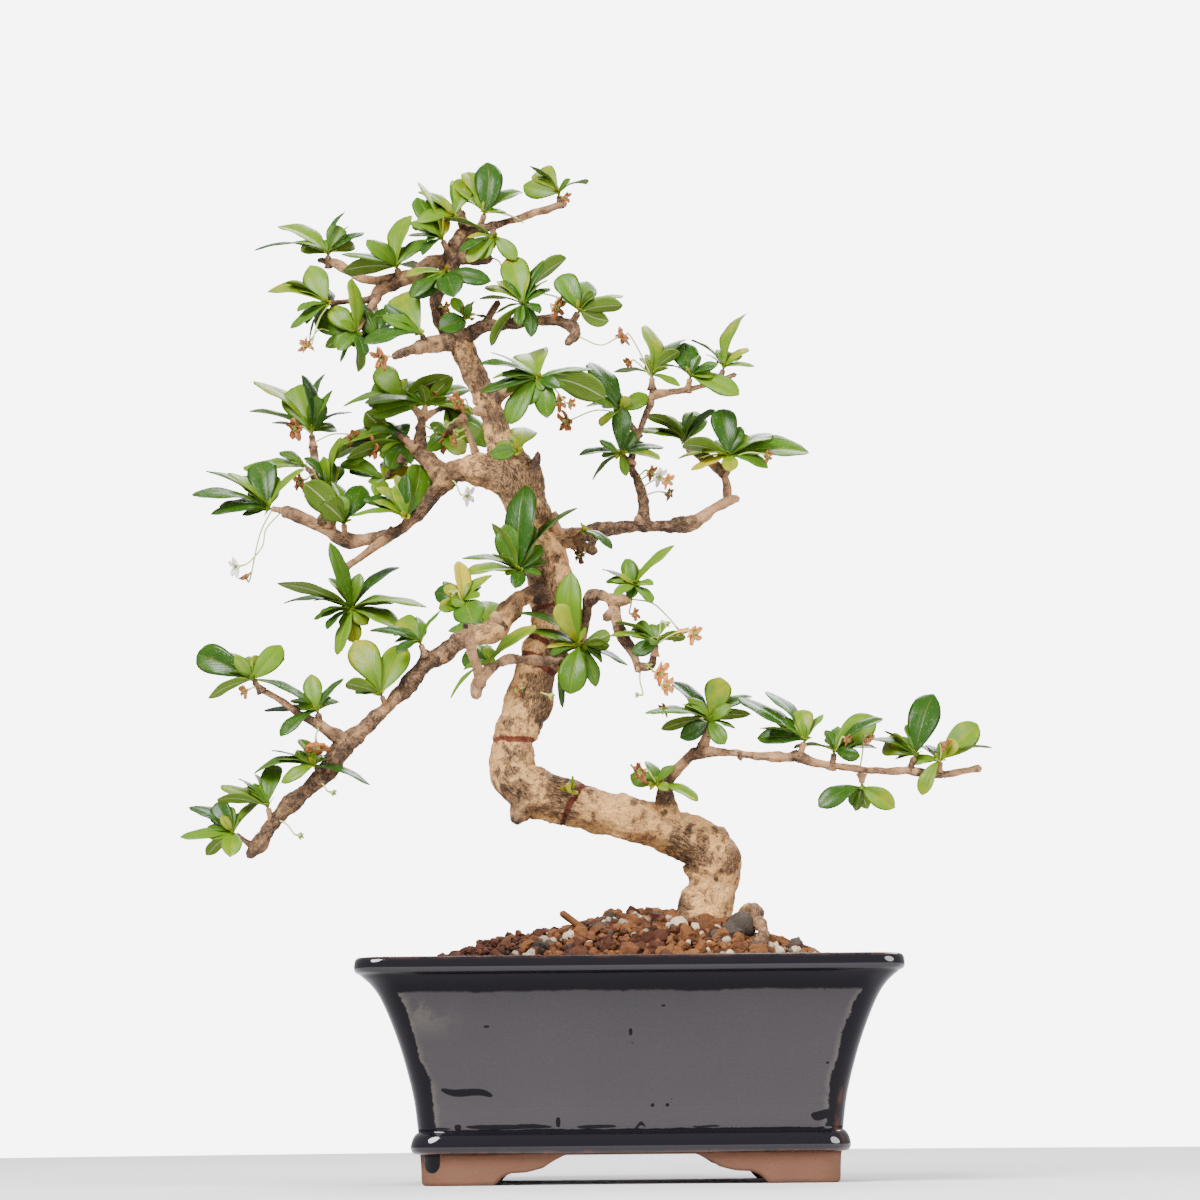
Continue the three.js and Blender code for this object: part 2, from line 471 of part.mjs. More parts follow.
// Where each rosette sits: from a place on its branch to its seat, then its leaves. A leaf is
// [across, up, width, face]: where its tip lies from the seat, how wide it looks from the front, and
// 1 or -1 for the upper or the under face seen. Hidden leaves grow on the side away from the front.
const ROSETTES = {
  leaves_crown_left_tip: { from: [-156, 33, 459], at: [-156, 31, 463.5], hidden: 1, leaves: [
    [-37, 3, 3, 1], [-25, 15, 9, 1], [-14, 8, 7, 1], [8, 22, 4.5, 1], [8, 17, 4, 1], [18, 12, 6, 1],
    [12, 8, 7, 1],
  ] },
  leaves_crown_left_knob: { from: [-120, 17, 452], at: [-121.5, 13, 457], hidden: 2, leaves: [
    [-28, 7.5, 4.5, 1], [-27, 3.5, 6.5, -1], [5, 26.5, 10, 1], [15, 15, 7.5, 1],
  ] },
  leaves_crown_far_left: { from: [-132.5, 13, 442], at: [-155, -6, 440], hidden: 1, leaves: [
    [-31, 6, 9, 1], [-10, 19, 12, 1], [-3, 8.5, 4, 1], [-16.5, -4, 4, 1], [-20, -12.5, 6, 1],
    [-10.5, -19, 2.5, 1],
  ] },
  leaves_crown_under_left: { from: [-132, 13, 442], at: [-141.5, -9, 426.5], hidden: 0, leaves: [
    [-23.5, 9.5, 12, 1], [-3.5, 15, 4, 1], [11.5, 29, 7, 1], [-7, 22, 6, 1], [-16, -8.5, 5, -1],
    [-9.5, -10, 6.5, 1], [-8.5, -16, 3, 1], [4, -13, 6, 1], [0.5, -21, 5, -1],
  ] },
  leaves_crown_low_left: { from: [-106, -15, 419], at: [-109, -21, 423.5], hidden: 1, leaves: [
    [-12, 20.5, 15, 1], [-20.5, 13, 7, 1], [-29, -3.5, 8, 1],
  ] },
  leaves_upper_left_twig: { from: [-163.5, 40, 369], at: [-164, 40, 374], hidden: 1, leaves: [
    [-5, 30, 4.5, 1], [6, 30.5, 6, 1], [10, 22.5, 4, 1], [-29, 27, 8, 1], [-31.5, 12, 3, 1],
    [20, 11.5, 3.5, 1], [12, 3.5, 6, 1],
  ] },
  leaves_upper_left_knob: { from: [-154.5, 29, 340], at: [-154.5, 29, 345.5], hidden: 1, leaves: [
    [5, 27.5, 3.5, 1], [-2.5, 17, 10, 1], [-13.5, 17, 4, 1],
  ] },
  leaves_upper_left_tip: { from: [-178, 30, 336], at: [-184, 29, 337], hidden: 1, leaves: [
    [-40, 7, 6, 1], [-33, 19, 4, 1], [-31, 2, 5.5, 1], [-6, 23.5, 14, 1], [-15, -3, 4, 1],
    [2, 16.5, 7, 1], [16, 20, 4, 1], [-19, 21.5, 6, 1],
  ] },
  leaves_upper_left_front: { from: [-147.5, 27, 322], at: [-148, 20, 329], hidden: 1, leaves: [
    [-10, 11, 12.5, -1], [9, 20, 11, 1], [8.5, 12.5, 5, 1], [-20, 21, 13, -1], [-6, 22, 5, 1],
  ] },
  leaves_upper_left_mid: { from: [-117, 18, 329], at: [-117, 12, 332], hidden: 1, leaves: [
    [16, 22.5, 13, 1], [3, 21, 7, 1], [-4.5, 22, 7, 1], [-21.5, 10, 7, 1], [-27.5, 1.5, 3.5, 1],
    [-16.5, 13.5, 6, 1],
  ] },
  leaves_back_left_high: { from: [-108.5, 34, 383], at: [-118, 48, 392], hidden: 1, leaves: [
    [-12.5, 17, 12, 1], [5, 9, 6, 1], [23, 12, 7, -1], [-30.5, -3.5, 5, 1], [-17.5, 1.5, 12.5, 1],
    [-23.5, -18.5, 5, 1],
  ] },
  leaves_back_left_right: { from: [-108.5, 34, 383], at: [-98, 56, 388], hidden: 1, leaves: [
    [14, 8.5, 4, 1], [5, 5, 7, 1], [15, -3.5, 5, 1], [23.5, -16.5, 11, 1], [5, -23.5, 7, 1],
  ] },
  leaves_back_left_low: { from: [-118, 33, 372], at: [-122, 40, 374.5], hidden: 1, leaves: [
    [-15.5, 11, 11, -1], [-14.5, -1.5, 9, 1], [-30.5, -5.5, 7, 1], [-32, -12, 5, -1], [-3.5, -14, 6, 1],
    [8, -16.5, 6, 1],
  ] },
  leaves_crown_top_left: { from: [-95, -2, 463], at: [-98.5, -7, 471], hidden: 1, leaves: [
    [-17.5, 3, 3, 1], [-16.5, 9.5, 7, 1], [0, 14, 4, 1], [-13, 22, 10, 1], [-15, 26, 6.5, 1],
    [-10.5, -7, 4, 1],
  ] },
  leaves_crown_top: { from: [-80, 2, 478], at: [-78, -4, 484], hidden: 1, leaves: [
    [-9, 21.5, 10, 1], [-16, 17.5, 8, 1], [1.5, 26.5, 13, 1], [18.5, 12, 7.5, 1], [3, 5.5, 4, 1],
    [20, -4, 3, 1],
  ] },
  leaves_crown_long_tip: { from: [-40, 22, 489], at: [-40.5, 20, 493.5], hidden: 2, leaves: [
    [-18, 5.5, 10, 1], [-11, 12.5, 11, 1], [5.5, 8.5, 3, 1],
  ] },
  leaves_crown_front: { from: [-74, 2, 478], at: [-73, -9, 473.5], hidden: 1, leaves: [
    [-13, -13, 7.5, 1], [11, -12, 7.5, 1], [-17, -7.5, 5, 1],
  ] },
  leaves_crown_collar: { from: [-97, -2, 455], at: [-97, -13, 455], hidden: 0, leaves: [
    [22.5, -4, 9, 1], [-20, -1.5, 4.5, 1], [-17.5, -11.5, 9, 1], [-15.5, -15, 8, 1], [4, -12, 12, 1],
  ] },
  leaves_crown_neck: { from: [-91, -6, 422], at: [-88, -15, 431], hidden: 0, leaves: [
    [-12.5, -4, 10, 1], [4.5, 9.5, 4.5, 1], [9, 2, 4, 1],
  ] },
  leaves_crown_right: { from: [-60, -17, 430], at: [-58.5, -22, 438], hidden: 1, leaves: [
    [-19, 10.5, 7, 1], [-6, 25.5, 13, 1], [-11, 16.5, 5, 1], [21.5, 24.5, 3.5, -1], [13, 21.5, 6, 1],
    [10.5, 11.5, 6, 1], [8.5, -3, 4.5, 1], [4, -15, 6.5, 1], [-12, -21, 7, -1],
  ] },
  leaves_crown_right_tip: { from: [-35, -28, 429], at: [-31, -34, 435], hidden: 0, leaves: [
    [5, 16, 12, 1], [22.5, 9, 5, 1], [22.5, 4, 6, -1], [15.5, -4, 7.5, -1], [-9, 19, 11, 1],
    [-18, 10, 3, 1],
  ] },
  leaves_high_front: { from: [-54, -29, 399], at: [-51.5, -34, 401.5], hidden: 0, leaves: [
    [-4.5, 13.5, 16, 1], [28.5, 5.5, 4.5, 1], [34, -9, 10, -1], [11.5, -4, 6, 1], [5, -19, 10, 1],
    [-13.5, -22, 10, 1], [-28.5, -6, 6.5, 1], [-22.5, 1, 4.5, 1], [-28.5, 8, 4, 1], [-23, 14, 3, 1],
  ] },
  leaves_high_right_near: { from: [-1, 28, 374], at: [-9, 20, 385], hidden: 1, leaves: [
    [-15.5, 25.5, 11, 1], [-18, 3.5, 4.5, 1], [-1, 9, 6, 1], [12.5, 9.5, 8, 1], [-10.5, -6.5, 4, 1],
  ] },
  leaves_high_right_low: { from: [-4.5, 26, 360], at: [-9, 17, 364], hidden: 0, leaves: [
    [-21.5, 0, 4, 1], [-15, -12.5, 3, 1], [5, 21, 7, 1], [9.5, 6, 7.5, 1], [21, 4, 5, 1],
    [19, -2, 4.5, 1],
  ] },
  leaves_high_right_top: { from: [6, 30, 398], at: [6, 30, 402.5], hidden: 1, leaves: [
    [-3, 26.5, 9, 1], [11, 26, 8, 1], [4, 13, 4, 1], [13.5, 13.5, 5.5, -1], [14, -4, 4, 1],
  ] },
  leaves_high_right_mid: { from: [24, 33, 397], at: [25, 30, 402], hidden: 1, leaves: [
    [-3, 18.5, 12.5, 1], [-5.5, 6, 4.5, 1], [12.5, 6, 3, 1], [24.5, -8, 10, 1],
  ] },
  leaves_high_right_end: { from: [40, 37, 402], at: [41.5, 36, 406.5], hidden: 2, leaves: [
    [11, 28, 7, 1], [-8.5, 8, 3, 1], [16, 2, 3, 1],
  ] },
  leaves_right_back: { from: [25, 49, 367], at: [23, 60, 371], hidden: 1, leaves: [
    [-21, 13, 4, -1], [-12.5, 13.5, 3.5, 1], [-23.5, 6, 6, 1], [5, 15, 12, 1], [14.5, 15.5, 4, 1],
  ] },
  leaves_right: { from: [44, 32, 358], at: [44.5, 30, 362], hidden: 1, leaves: [
    [-4, 25, 12, 1], [0.5, 14, 8, 1], [21, 13, 7, 1], [39, 9, 12, 1], [19.5, -4.5, 6, 1],
    [-23, 7.5, 6, -1], [-19, -5.5, 4.5, 1], [-25.5, 0.5, 4.5, 1],
  ] },
  leaves_trunk_front: { from: [-50, 0, 303], at: [-60, -16, 306], hidden: 0, leaves: [
    [5, 41, 14, 1], [27, 31, 6, 1], [-14, 24, 4.5, -1], [-29, 6.5, 4.5, 1], [-27.5, -2, 6, 1],
    [-2.5, -8.5, 7, 1], [10, 0, 5, 1],
  ] },
  leaves_front: { from: [-86, -86, 280], at: [-88, -91, 289], hidden: 0, leaves: [
    [-2.5, 22, 7, 1], [-15, 6, 9, 1], [-12.5, -2, 6, 1], [4, -9, 14, 1], [6.5, 11, 6, 1],
    [14, 15, 5, 1], [-10, 12, 5, 1],
  ] },
  leaves_front_low: { from: [-79, -74, 253], at: [-76, -70, 259], hidden: 0, leaves: [
    [23.5, 20, 7, 1], [-13, 4, 9, 1], [-16.5, -16, 4, 1], [-6, 10, 5, 1],
  ] },
  leaves_arch_knob: { from: [-6, -44, 292], at: [-4, -46, 297], hidden: 1, leaves: [
    [21, 22, 4.5, 1], [1, 11, 7, 1], [-13, 4, 5, 1], [-9, -3, 4.5, 1], [10, -7, 4.5, 1],
  ] },
  leaves_arch_twig: { from: [7.5, -50, 265], at: [8, -51, 269], hidden: 1, leaves: [
    [-11.5, 9, 9, 1], [-12, -4, 7, 1], [15, 4, 4.5, -1], [-21.5, 3.5, 4, 1], [6, 12, 5, 1],
  ] },
  leaves_arch_root: { from: [-30, -14, 271], at: [-30, -24, 269], hidden: 0, leaves: [
    [6.5, 33.5, 12, 1], [-33.5, 11.5, 4, 1], [-22.5, 8, 6, 1], [-16.5, 1.5, 4.5, 1], [15, 5.5, 7, -1],
    [24, -10, 4, 1], [-5, -24.5, 13, 1], [8, -21, 7, 1], [-12, -29, 5, 1],
  ] },
  leaves_left_stub: { from: [-108, -40, 265], at: [-109.5, -42, 269], hidden: 1, leaves: [
    [-11, 13, 11, 1], [-25.5, 7.5, 5, 1], [-1.5, 14, 4, 1], [9, 17.5, 4, 1], [-12, -4, 4, 1],
  ] },
  leaves_left_mid: { from: [-127, -46, 238], at: [-129, -50, 243], hidden: 1, leaves: [
    [-14, 28, 14, 1], [11, 26, 12, 1], [-2, 24, 7.5, 1], [-18, 7, 6, -1], [-13.5, 3, 4.5, 1],
  ] },
  leaves_left_fork: { from: [-160, -58, 229], at: [-161, -60, 234.5], hidden: 1, leaves: [
    [-3.5, 20, 8.5, 1], [12.5, 18, 4, 1], [10, 6.5, 5, 1], [-27, 2, 4, 1], [-21.5, -8, 5, 1],
  ] },
  leaves_left_fork_tip: { from: [-190, -67, 247], at: [-193, -69, 250.5], hidden: 1, leaves: [
    [-28.5, 14, 13, 1], [-2, 13, 5, 1], [13.5, 18.5, 10, 1], [14.5, 13, 7, 1], [-23, -8, 4, -1],
    [28, -11, 4, 1],
  ] },
  leaves_left_low: { from: [-158, -52, 205], at: [-162, -57, 208], hidden: 1, leaves: [
    [-17.5, -8, 6, 1], [-31, -3, 5, 1], [5, 6, 4, 1], [28, -5, 4, 1], [-8, 14, 5, 1],
  ] },
  leaves_left_low_end: { from: [-184, -46, 178], at: [-186, -50, 187], hidden: 1, leaves: [
    [2.5, 23.5, 9, 1], [-23.5, 12, 6, 1], [-25.5, 5, 4.5, -1], [-4.5, 19, 4, 1],
  ] },
  leaves_left_low_tip: { from: [-192.5, -45, 167.5], at: [-202, -47, 174], hidden: 1, leaves: [
    [-23.5, 14, 6, 1], [-13.5, 12, 9, 1], [-28, -1, 5, 1], [-15, -10, 4.5, -1], [-3, -11, 9, 1],
    [3, 12, 5, 1], [14, 18, 5, 1],
  ] },
  leaves_right_foot: { from: [13.5, -12, 196], at: [9, -20, 199], hidden: 0, leaves: [
    [-14, 5, 8, 1], [-6, 12, 5, 1], [20, -8, 5, 1],
  ] },
  leaves_low_right_stub: { from: [34, -29, 225], at: [34.5, -29.5, 229.5], hidden: 1, leaves: [
    [5.5, 23.5, 12, 1], [-19, 21.5, 7, 1], [-32, 5.5, 4, 1], [-13, 8, 4, -1], [-14.5, -7, 8, 1],
    [-24, -2.5, 4, -1], [21.5, 14, 6, 1], [21, 5, 4, -1], [8, -10, 7.5, 1],
  ] },
  leaves_low_right_mid: { from: [80, -40, 214], at: [82, -43, 220], hidden: 1, leaves: [
    [-32.5, 23, 8, 1], [-19, 26, 7, 1], [-23.5, 2.5, 8, 1], [-13, 6, 4, 1], [-2, 15.5, 9, 1],
    [9.5, 14.5, 4, 1],
  ] },
  leaves_low_right_outer: { from: [96, -39, 208], at: [97, -41, 214.5], hidden: 1, leaves: [
    [24.5, 17.5, 4, 1], [21, 18.5, 13, 1], [13, -1, 6, 1], [21.5, 3, 4, 1], [2, 14, 5, 1],
  ] },
  leaves_low_right_far: { from: [135, -31, 206], at: [137, -32, 212.5], hidden: 1, leaves: [
    [10, 32, 14, 1], [-15, 7, 11, 1], [-9, 0, 4, 1], [-22.5, 9.5, 4, 1],
  ] },
  leaves_low_right_tip: { from: [150, -26, 205], at: [150, -30, 210], hidden: 2, leaves: [
    [19, 19.5, 12, 1], [-6, 9, 5, 1], [-9, -16, 6.5, 1],
  ] },
  leaves_low_right_hanging: { from: [111, -37, 203], at: [111, -37, 200], hidden: 0, leaves: [
    [-21.5, -12, 9, 1], [16.5, -12.5, 9, 1], [3, -13, 6, -1],
  ] },
  leaves_upper_left_hanging: { from: [-145, 26, 293], at: [-144.5, 25, 289], hidden: 1, leaves: [
    [-37, 11, 4, -1], [-34, 1, 4, 1], [-12, -12, 4, 1], [-7, -25, 7, 1], [2, -19, 8, 1],
    [24, -12, 8, 1], [38, -1, 4.5, 1], [24, 19, 6, 1], [-8, 33, 6.5, 1],
  ] },
};
// Small turns in degrees, about the bud and up or down, that a leaf may take to pass clear of others.
const SWINGS = [
  [0, 0], [0, 8], [0, -8], [9, 0], [-9, 0], [10, 9], [-10, -9], [10, -9], [-10, 9], [0, 17], [0, -17],
  [19, 0], [-19, 0], [20, 16], [-20, -16], [20, -16], [-20, 16], [0, 28], [0, -28], [32, 0], [-32, 0],
  [34, 20], [-34, -20],
];

// Every leaf of a rosette as its tip from the seat, its width, and the way its upper face looks.
function leavesOf({ at, leaves, hidden }, index) {
  const random = randomFrom(1000 + 37 * index);
  const seat = place(at);
  const front = new THREE.Vector3(0, -1, 0);
  const seen = leaves.map(([across, up, width, face], i) => {
    const flat = Math.hypot(across, up);
    const length = Math.min(LEAF_LENGTH_MOST, Math.max(LEAF_LENGTH_LEAST, 1.9 * width, flat));
    const depthShare = LEAF_DEPTH_SHARE * flat * (0.6 + 0.8 * random());
    const depth = Math.max(Math.sqrt(Math.max(0, length ** 2 - flat ** 2)), depthShare);
    const narrow = width < NARROW_SHARE * length;
    const towards = narrow ? (i % 2 ? 1 : -1) : face * (up < 0 ? -1 : 1);
    const tip = place([at[0] + across, at[1] + towards * depth, at[2] + up]).sub(seat);
    const broad = Math.max(width, LEAF_SLENDER * tip.length() * (narrow ? NARROW_WIDTH : 1));
    const square = front.clone().addScaledVector(tip, -front.dot(tip) / tip.lengthSq()).normalize();
    const side = tip.clone().cross(square).normalize();
    if (side.z < 0) side.negate();
    const share = Math.min(1, width / broad);
    const normal = square.multiplyScalar(face * share).addScaledVector(side, Math.sqrt(1 - share ** 2));
    return { tip, width: broad, normal };
  });
  const unseen = Array.from({ length: hidden }, (_, i) => {
    const angle = (random() - 0.5) * 1.2 + (i % 2 ? 0.9 : -0.9);
    const rise = 0.15 + 0.6 * random();
    const tip = new THREE.Vector3(Math.sin(angle), Math.cos(angle), rise).normalize();
    tip.multiplyScalar(HIDDEN_LENGTH * (0.85 + 0.35 * random()));
    const normal = new THREE.Vector3(0, 0, 1).addScaledVector(tip, -tip.z / tip.lengthSq()).normalize();
    return { tip, width: HIDDEN_WIDTH * (0.85 + 0.35 * random()), normal };
  });
  return [...seen, ...unseen];
}

function swung({ tip, width, normal }, [turn, tilt]) {
  const upright = new THREE.Vector3(0, 0, 1);
  const level = new THREE.Vector3(-tip.y, tip.x, 0.001).normalize();
  const spin = new THREE.Quaternion().setFromAxisAngle(upright, THREE.MathUtils.degToRad(turn));
  const lift = new THREE.Quaternion().setFromAxisAngle(level, THREE.MathUtils.degToRad(-tilt));
  const move = (vector) => vector.clone().applyQuaternion(lift).applyQuaternion(spin);
  return { tip: move(tip), width, normal: move(normal) };
}

// One blade: a bowed midrib from deep in the bud to the tip, flat above, keeled below and pointed at
// both ends. Its root lies past the bud's heart, so the stalk has some width where it leaves the bud.
function blade(heart, { tip, width, normal }, seat, grow = 0) {
  const end = seat.clone().add(tip);
  const root = heart.clone().addScaledVector(tip, -LEAF_ROOT_DEPTH / tip.length());
  const middle = root.clone().lerp(end, 0.5).addScaledVector(normal, LEAF_BOW * tip.length());
  const midrib = new THREE.QuadraticBezierCurve3(root, middle, end);
  const points = LEAF_STATIONS.flatMap(([share, part]) => {
    const point = midrib.getPoint(share);
    const along = midrib.getTangent(share);
    const up = normal.clone().addScaledVector(along, -normal.dot(along)).normalize();
    const side = along.clone().cross(up).multiplyScalar((part * width) / 2 + grow);
    const top = point.clone().addScaledVector(up, grow);
    const keel = point.clone().addScaledVector(up, -LEAF_KEEL - grow);
    return [top.clone().add(side), top.clone().sub(side), keel];
  });
  points.push(root, end.clone().addScaledVector(tip, grow / tip.length()));
  const [first, last] = [points.length - 2, points.length - 1];
  const faces = [];
  for (let edge = 0; edge < 3; edge += 1) {
    const next = (edge + 1) % 3;
    faces.push(first, next, edge, edge, next, next + 3, edge, next + 3, edge + 3, edge + 3, next + 3, last);
  }
  const geometry = new THREE.BufferGeometry().setFromPoints(points);
  geometry.setIndex(faces);
  return solidOf(geometry);
}

function buildRosette(rosette, index, taken) {
  const seat = place(rosette.at);
  const axis = seat.clone().sub(place(rosette.from)).normalize();
  const heart = seat.clone().addScaledVector(axis, BUD_HEART * BUD_HEIGHT);
  let solid = tube([
    { point: seat.clone().addScaledVector(axis, GAP / 2), radius: SPUR_RADIUS },
    { point: heart, radius: BUD_RADIUS },
    { point: seat.clone().addScaledVector(axis, BUD_HEIGHT), radius: 0.8 },
  ], BUD_SIDES);
  for (const other of taken) {
    if (other.near(solid) && !other.solid.intersect(solid).isEmpty()) solid = solid.subtract(other.solid);
  }
  const siblings = [];
  const core = new THREE.IcosahedronGeometry(SIBLING_CLEAR, 0).translate(heart.x, heart.y, heart.z);
  const middle = solidOf(core);
  for (const leaf of leavesOf(rosette, index)) {
    const pose = SWINGS.map((swing) => swung(leaf, swing)).find((candidate) => {
      const room = blade(heart, candidate, seat, GAP);
      const clear = (other, mine) => !other.near(mine) || other.solid.intersect(mine).isEmpty();
      if (!taken.every((other) => clear(other, room))) return false;
      const outer = blade(heart, candidate, seat).subtract(middle);
      return siblings.every((other) => clear(other, outer));
    });
    if (!pose) continue;
    const leafSolid = blade(heart, pose, seat);
    solid = solid.add(leafSolid);
    siblings.push(kept(leafSolid.subtract(middle)));
  }
  return solid;
}

// A finished solid with its box, so that only neighbours are compared.
function kept(solid) {
  const box = solid.boundingBox();
  const near = (other) => {
    const seen = other.boundingBox();
    return [0, 1, 2].every((k) => seen.min[k] <= box.max[k] && seen.max[k] >= box.min[k]);
  };
  return { solid, near };
}

// Flowers

// Stalks of [across, depth, up] from inside their branch to the flower's throat, then the flower.
const FLOWERS = {
  flower_withered_hanging: {
    stalk: [[-160, -58, 229], [-162, -62, 224], [-162, -63, 221]],
    size: 7,
    colour: "withered",
  },
  flower_withered_left: {
    stalk: [[-130, 17, 446], [-141, 4, 434], [-151, -2, 425.5], [-160, -5, 427], [-165, -6, 421]],
    size: 5,
    colour: "withered",
  },
  flower_white: {
    stalk: [[-180, 30, 335], [-187, 24, 327], [-189, 22, 318], [-196, 20, 310], [-200, 18, 308.5]],
    size: 6,
    colour: "white",
  },
  flower_peach: {
    stalk: [[-5, -44, 292], [6, -48, 290], [14, -50, 283], [19, -51, 277]],
    size: 6,
    colour: "peach",
  },
  flower_withered_crown: {
    stalk: [[-32, -30, 424], [-20, -34, 419], [-11, -37, 423]],
    size: 5,
    colour: "withered",
  },
};
const STALK_RADIUS = 0.6;
const PETALS = 5;

function buildFlower({ stalk, size }, taken) {
  const points = stalk.map(place);
  const throat = points[points.length - 1];
  const along = throat.clone().sub(points[points.length - 2]).normalize();
  let solid = tube(points.map((point) => ({ point, radius: STALK_RADIUS })), TWIG_SIDES);
  const side = new THREE.Vector3(0.3, 0.2, 1).cross(along).normalize();
  // Rings of the corolla: how far out at a petal's tip and between petals, and how high, in petal lengths.
  const ringRows = [[0.2, 0.2, 0], [1, 0.42, 0.5], [0.96, 0.4, 0.66], [0.3, 0.2, 0.3]];
  const rings = ringRows.map(([tip, notch, rise]) => Array.from({ length: 2 * PETALS }, (_, corner) => {
    const out = side.clone().applyAxisAngle(along, (corner * Math.PI) / PETALS);
    out.multiplyScalar(size * (corner % 2 ? notch : tip));
    return throat.clone().add(out).addScaledVector(along, size * rise);
  }));
  solid = solid.add(loft(rings));
  for (const other of taken) {
    if (other.near(solid)) solid = solid.subtract(other.solid);
  }
  return solid.decompose().reduce((largest, piece) => (piece.volume() > largest.volume() ? piece : largest));
}

// Materials

const FINISHES = {
  glaze: { color: 0x1d2026, roughness: 0.12, metalness: 0 },
  soil: { color: 0x8a5c40, roughness: 0.95, metalness: 0 },
  bark: { color: 0xbfa385, roughness: 0.85, metalness: 0 },
  leaf: { color: 0x4f7d2a, roughness: 0.35, metalness: 0 },
  withered: { color: 0x9a6a3c, roughness: 0.9, metalness: 0 },
  white: { color: 0xefe9dc, roughness: 0.6, metalness: 0 },
  peach: { color: 0xe3b48c, roughness: 0.7, metalness: 0 },
  mesh: { color: 0x1b1b1b, roughness: 0.6, metalness: 0 },
};

function piece(name, solid, finish) {
  const material = new THREE.MeshStandardMaterial({ ...FINISHES[finish], flatShading: true });
  const mesh = new THREE.Mesh(geometryOf(solid), material);
  mesh.name = name;
  return mesh;
}

// Assembly: the tree's pieces in a righted group, the pot's pieces beside it, and the whole set with
// the middle of its box at the origin.
const rosettes = Object.entries(ROSETTES);
const wood = buildWood(Object.values(ROSETTES));
const woodRoom = buildWood(Object.values(ROSETTES), GAP);
const righted = new THREE.Matrix4()
  .makeTranslation(DRAWING_MIDDLE.clone().add(new THREE.Vector3(TREE_SHIFT.right, 0, -TREE_SHIFT.down)))
  .multiply(new THREE.Matrix4().makeRotationY(TREE_LEAN))
  .multiply(new THREE.Matrix4().makeTranslation(DRAWING_MIDDLE.clone().negate()));
const inPot = (solid) => solid.transform(righted.elements);

const tree = new THREE.Group();
tree.applyMatrix4(righted);
tree.add(piece("wood", wood, "bark"));
const taken = [kept(woodRoom)];
rosettes.forEach(([name, rosette], index) => {
  const solid = buildRosette(rosette, index, taken);
  taken.push(kept(solid));
  tree.add(piece(name, solid, "leaf"));
});
for (const [name, flower] of Object.entries(FLOWERS)) {
  const solid = buildFlower(flower, taken);
  taken.push(kept(solid));
  tree.add(piece(name, solid, flower.colour));
}

const model = new THREE.Group();
model.add(tree);
model.add(piece("pot", buildPot(), "glaze"));
model.add(piece("soil", buildSoil([inPot(woodRoom)]), "soil"));
model.add(piece("drain_screen_left", buildScreen(-1), "mesh"));
model.add(piece("drain_screen_right", buildScreen(1), "mesh"));

const box = new THREE.Box3().setFromObject(model, true);
model.position.set(-(box.min.x + box.max.x) / 2, -(box.min.y + box.max.y) / 2, -box.min.z);

export default model;
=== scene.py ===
"""A fukien tea bonsai in a glazed pot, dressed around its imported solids."""

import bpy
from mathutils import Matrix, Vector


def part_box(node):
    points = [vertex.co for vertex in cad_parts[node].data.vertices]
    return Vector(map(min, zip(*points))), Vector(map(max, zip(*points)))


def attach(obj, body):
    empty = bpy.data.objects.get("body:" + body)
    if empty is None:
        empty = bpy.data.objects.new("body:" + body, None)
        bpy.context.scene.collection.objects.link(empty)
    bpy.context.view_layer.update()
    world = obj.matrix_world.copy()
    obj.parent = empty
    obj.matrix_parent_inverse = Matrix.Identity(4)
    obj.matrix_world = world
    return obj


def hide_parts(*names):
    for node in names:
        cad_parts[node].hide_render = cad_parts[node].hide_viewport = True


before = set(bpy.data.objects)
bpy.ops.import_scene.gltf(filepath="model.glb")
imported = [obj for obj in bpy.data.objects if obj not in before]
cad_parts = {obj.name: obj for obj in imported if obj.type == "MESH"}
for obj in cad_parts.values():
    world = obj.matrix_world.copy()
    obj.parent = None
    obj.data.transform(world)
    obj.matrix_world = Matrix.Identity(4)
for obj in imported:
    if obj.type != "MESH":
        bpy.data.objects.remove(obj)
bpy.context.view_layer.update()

import itertools
import math

import bmesh
import bpy
import numpy as np
from bpy.props import FloatProperty, FloatVectorProperty, IntProperty, PointerProperty
from mathutils import Matrix, Vector

bl_info = {
    "name": "Fukien Tea Bonsai",
    "version": (1, 0, 0),
    "blender": (4, 5, 0),
    "location": "View3D > Sidebar > Bonsai",
    "description": "Bark, leaves, flowers, soil and glazed pot of a fukien tea bonsai",
    "category": "Object",
}

MM = 0.001

# The tree's places are those of a front drawing in perspective. The drawing leans a little, so the tree is
# righted about the drawing's middle, and shifted to where it stands in its pot. The tables are in
# millimetres.
TREE_LEAN = math.radians(0.55)
TREE_SHIFT = np.array((7.9, 0.0, -4.0))
DRAWING_MIDDLE = np.array((-20.0, 0.0, 291.5))
EYE_ACROSS = -20.0
EYE_AWAY = 1800.0
EYE_HEIGHT = 40.0
SIGHT_PITCH = math.radians(7.9)
SIGHT_LENGTH = EYE_AWAY / math.cos(SIGHT_PITCH)
SIGHT_HEIGHT = EYE_HEIGHT + EYE_AWAY * math.tan(SIGHT_PITCH)

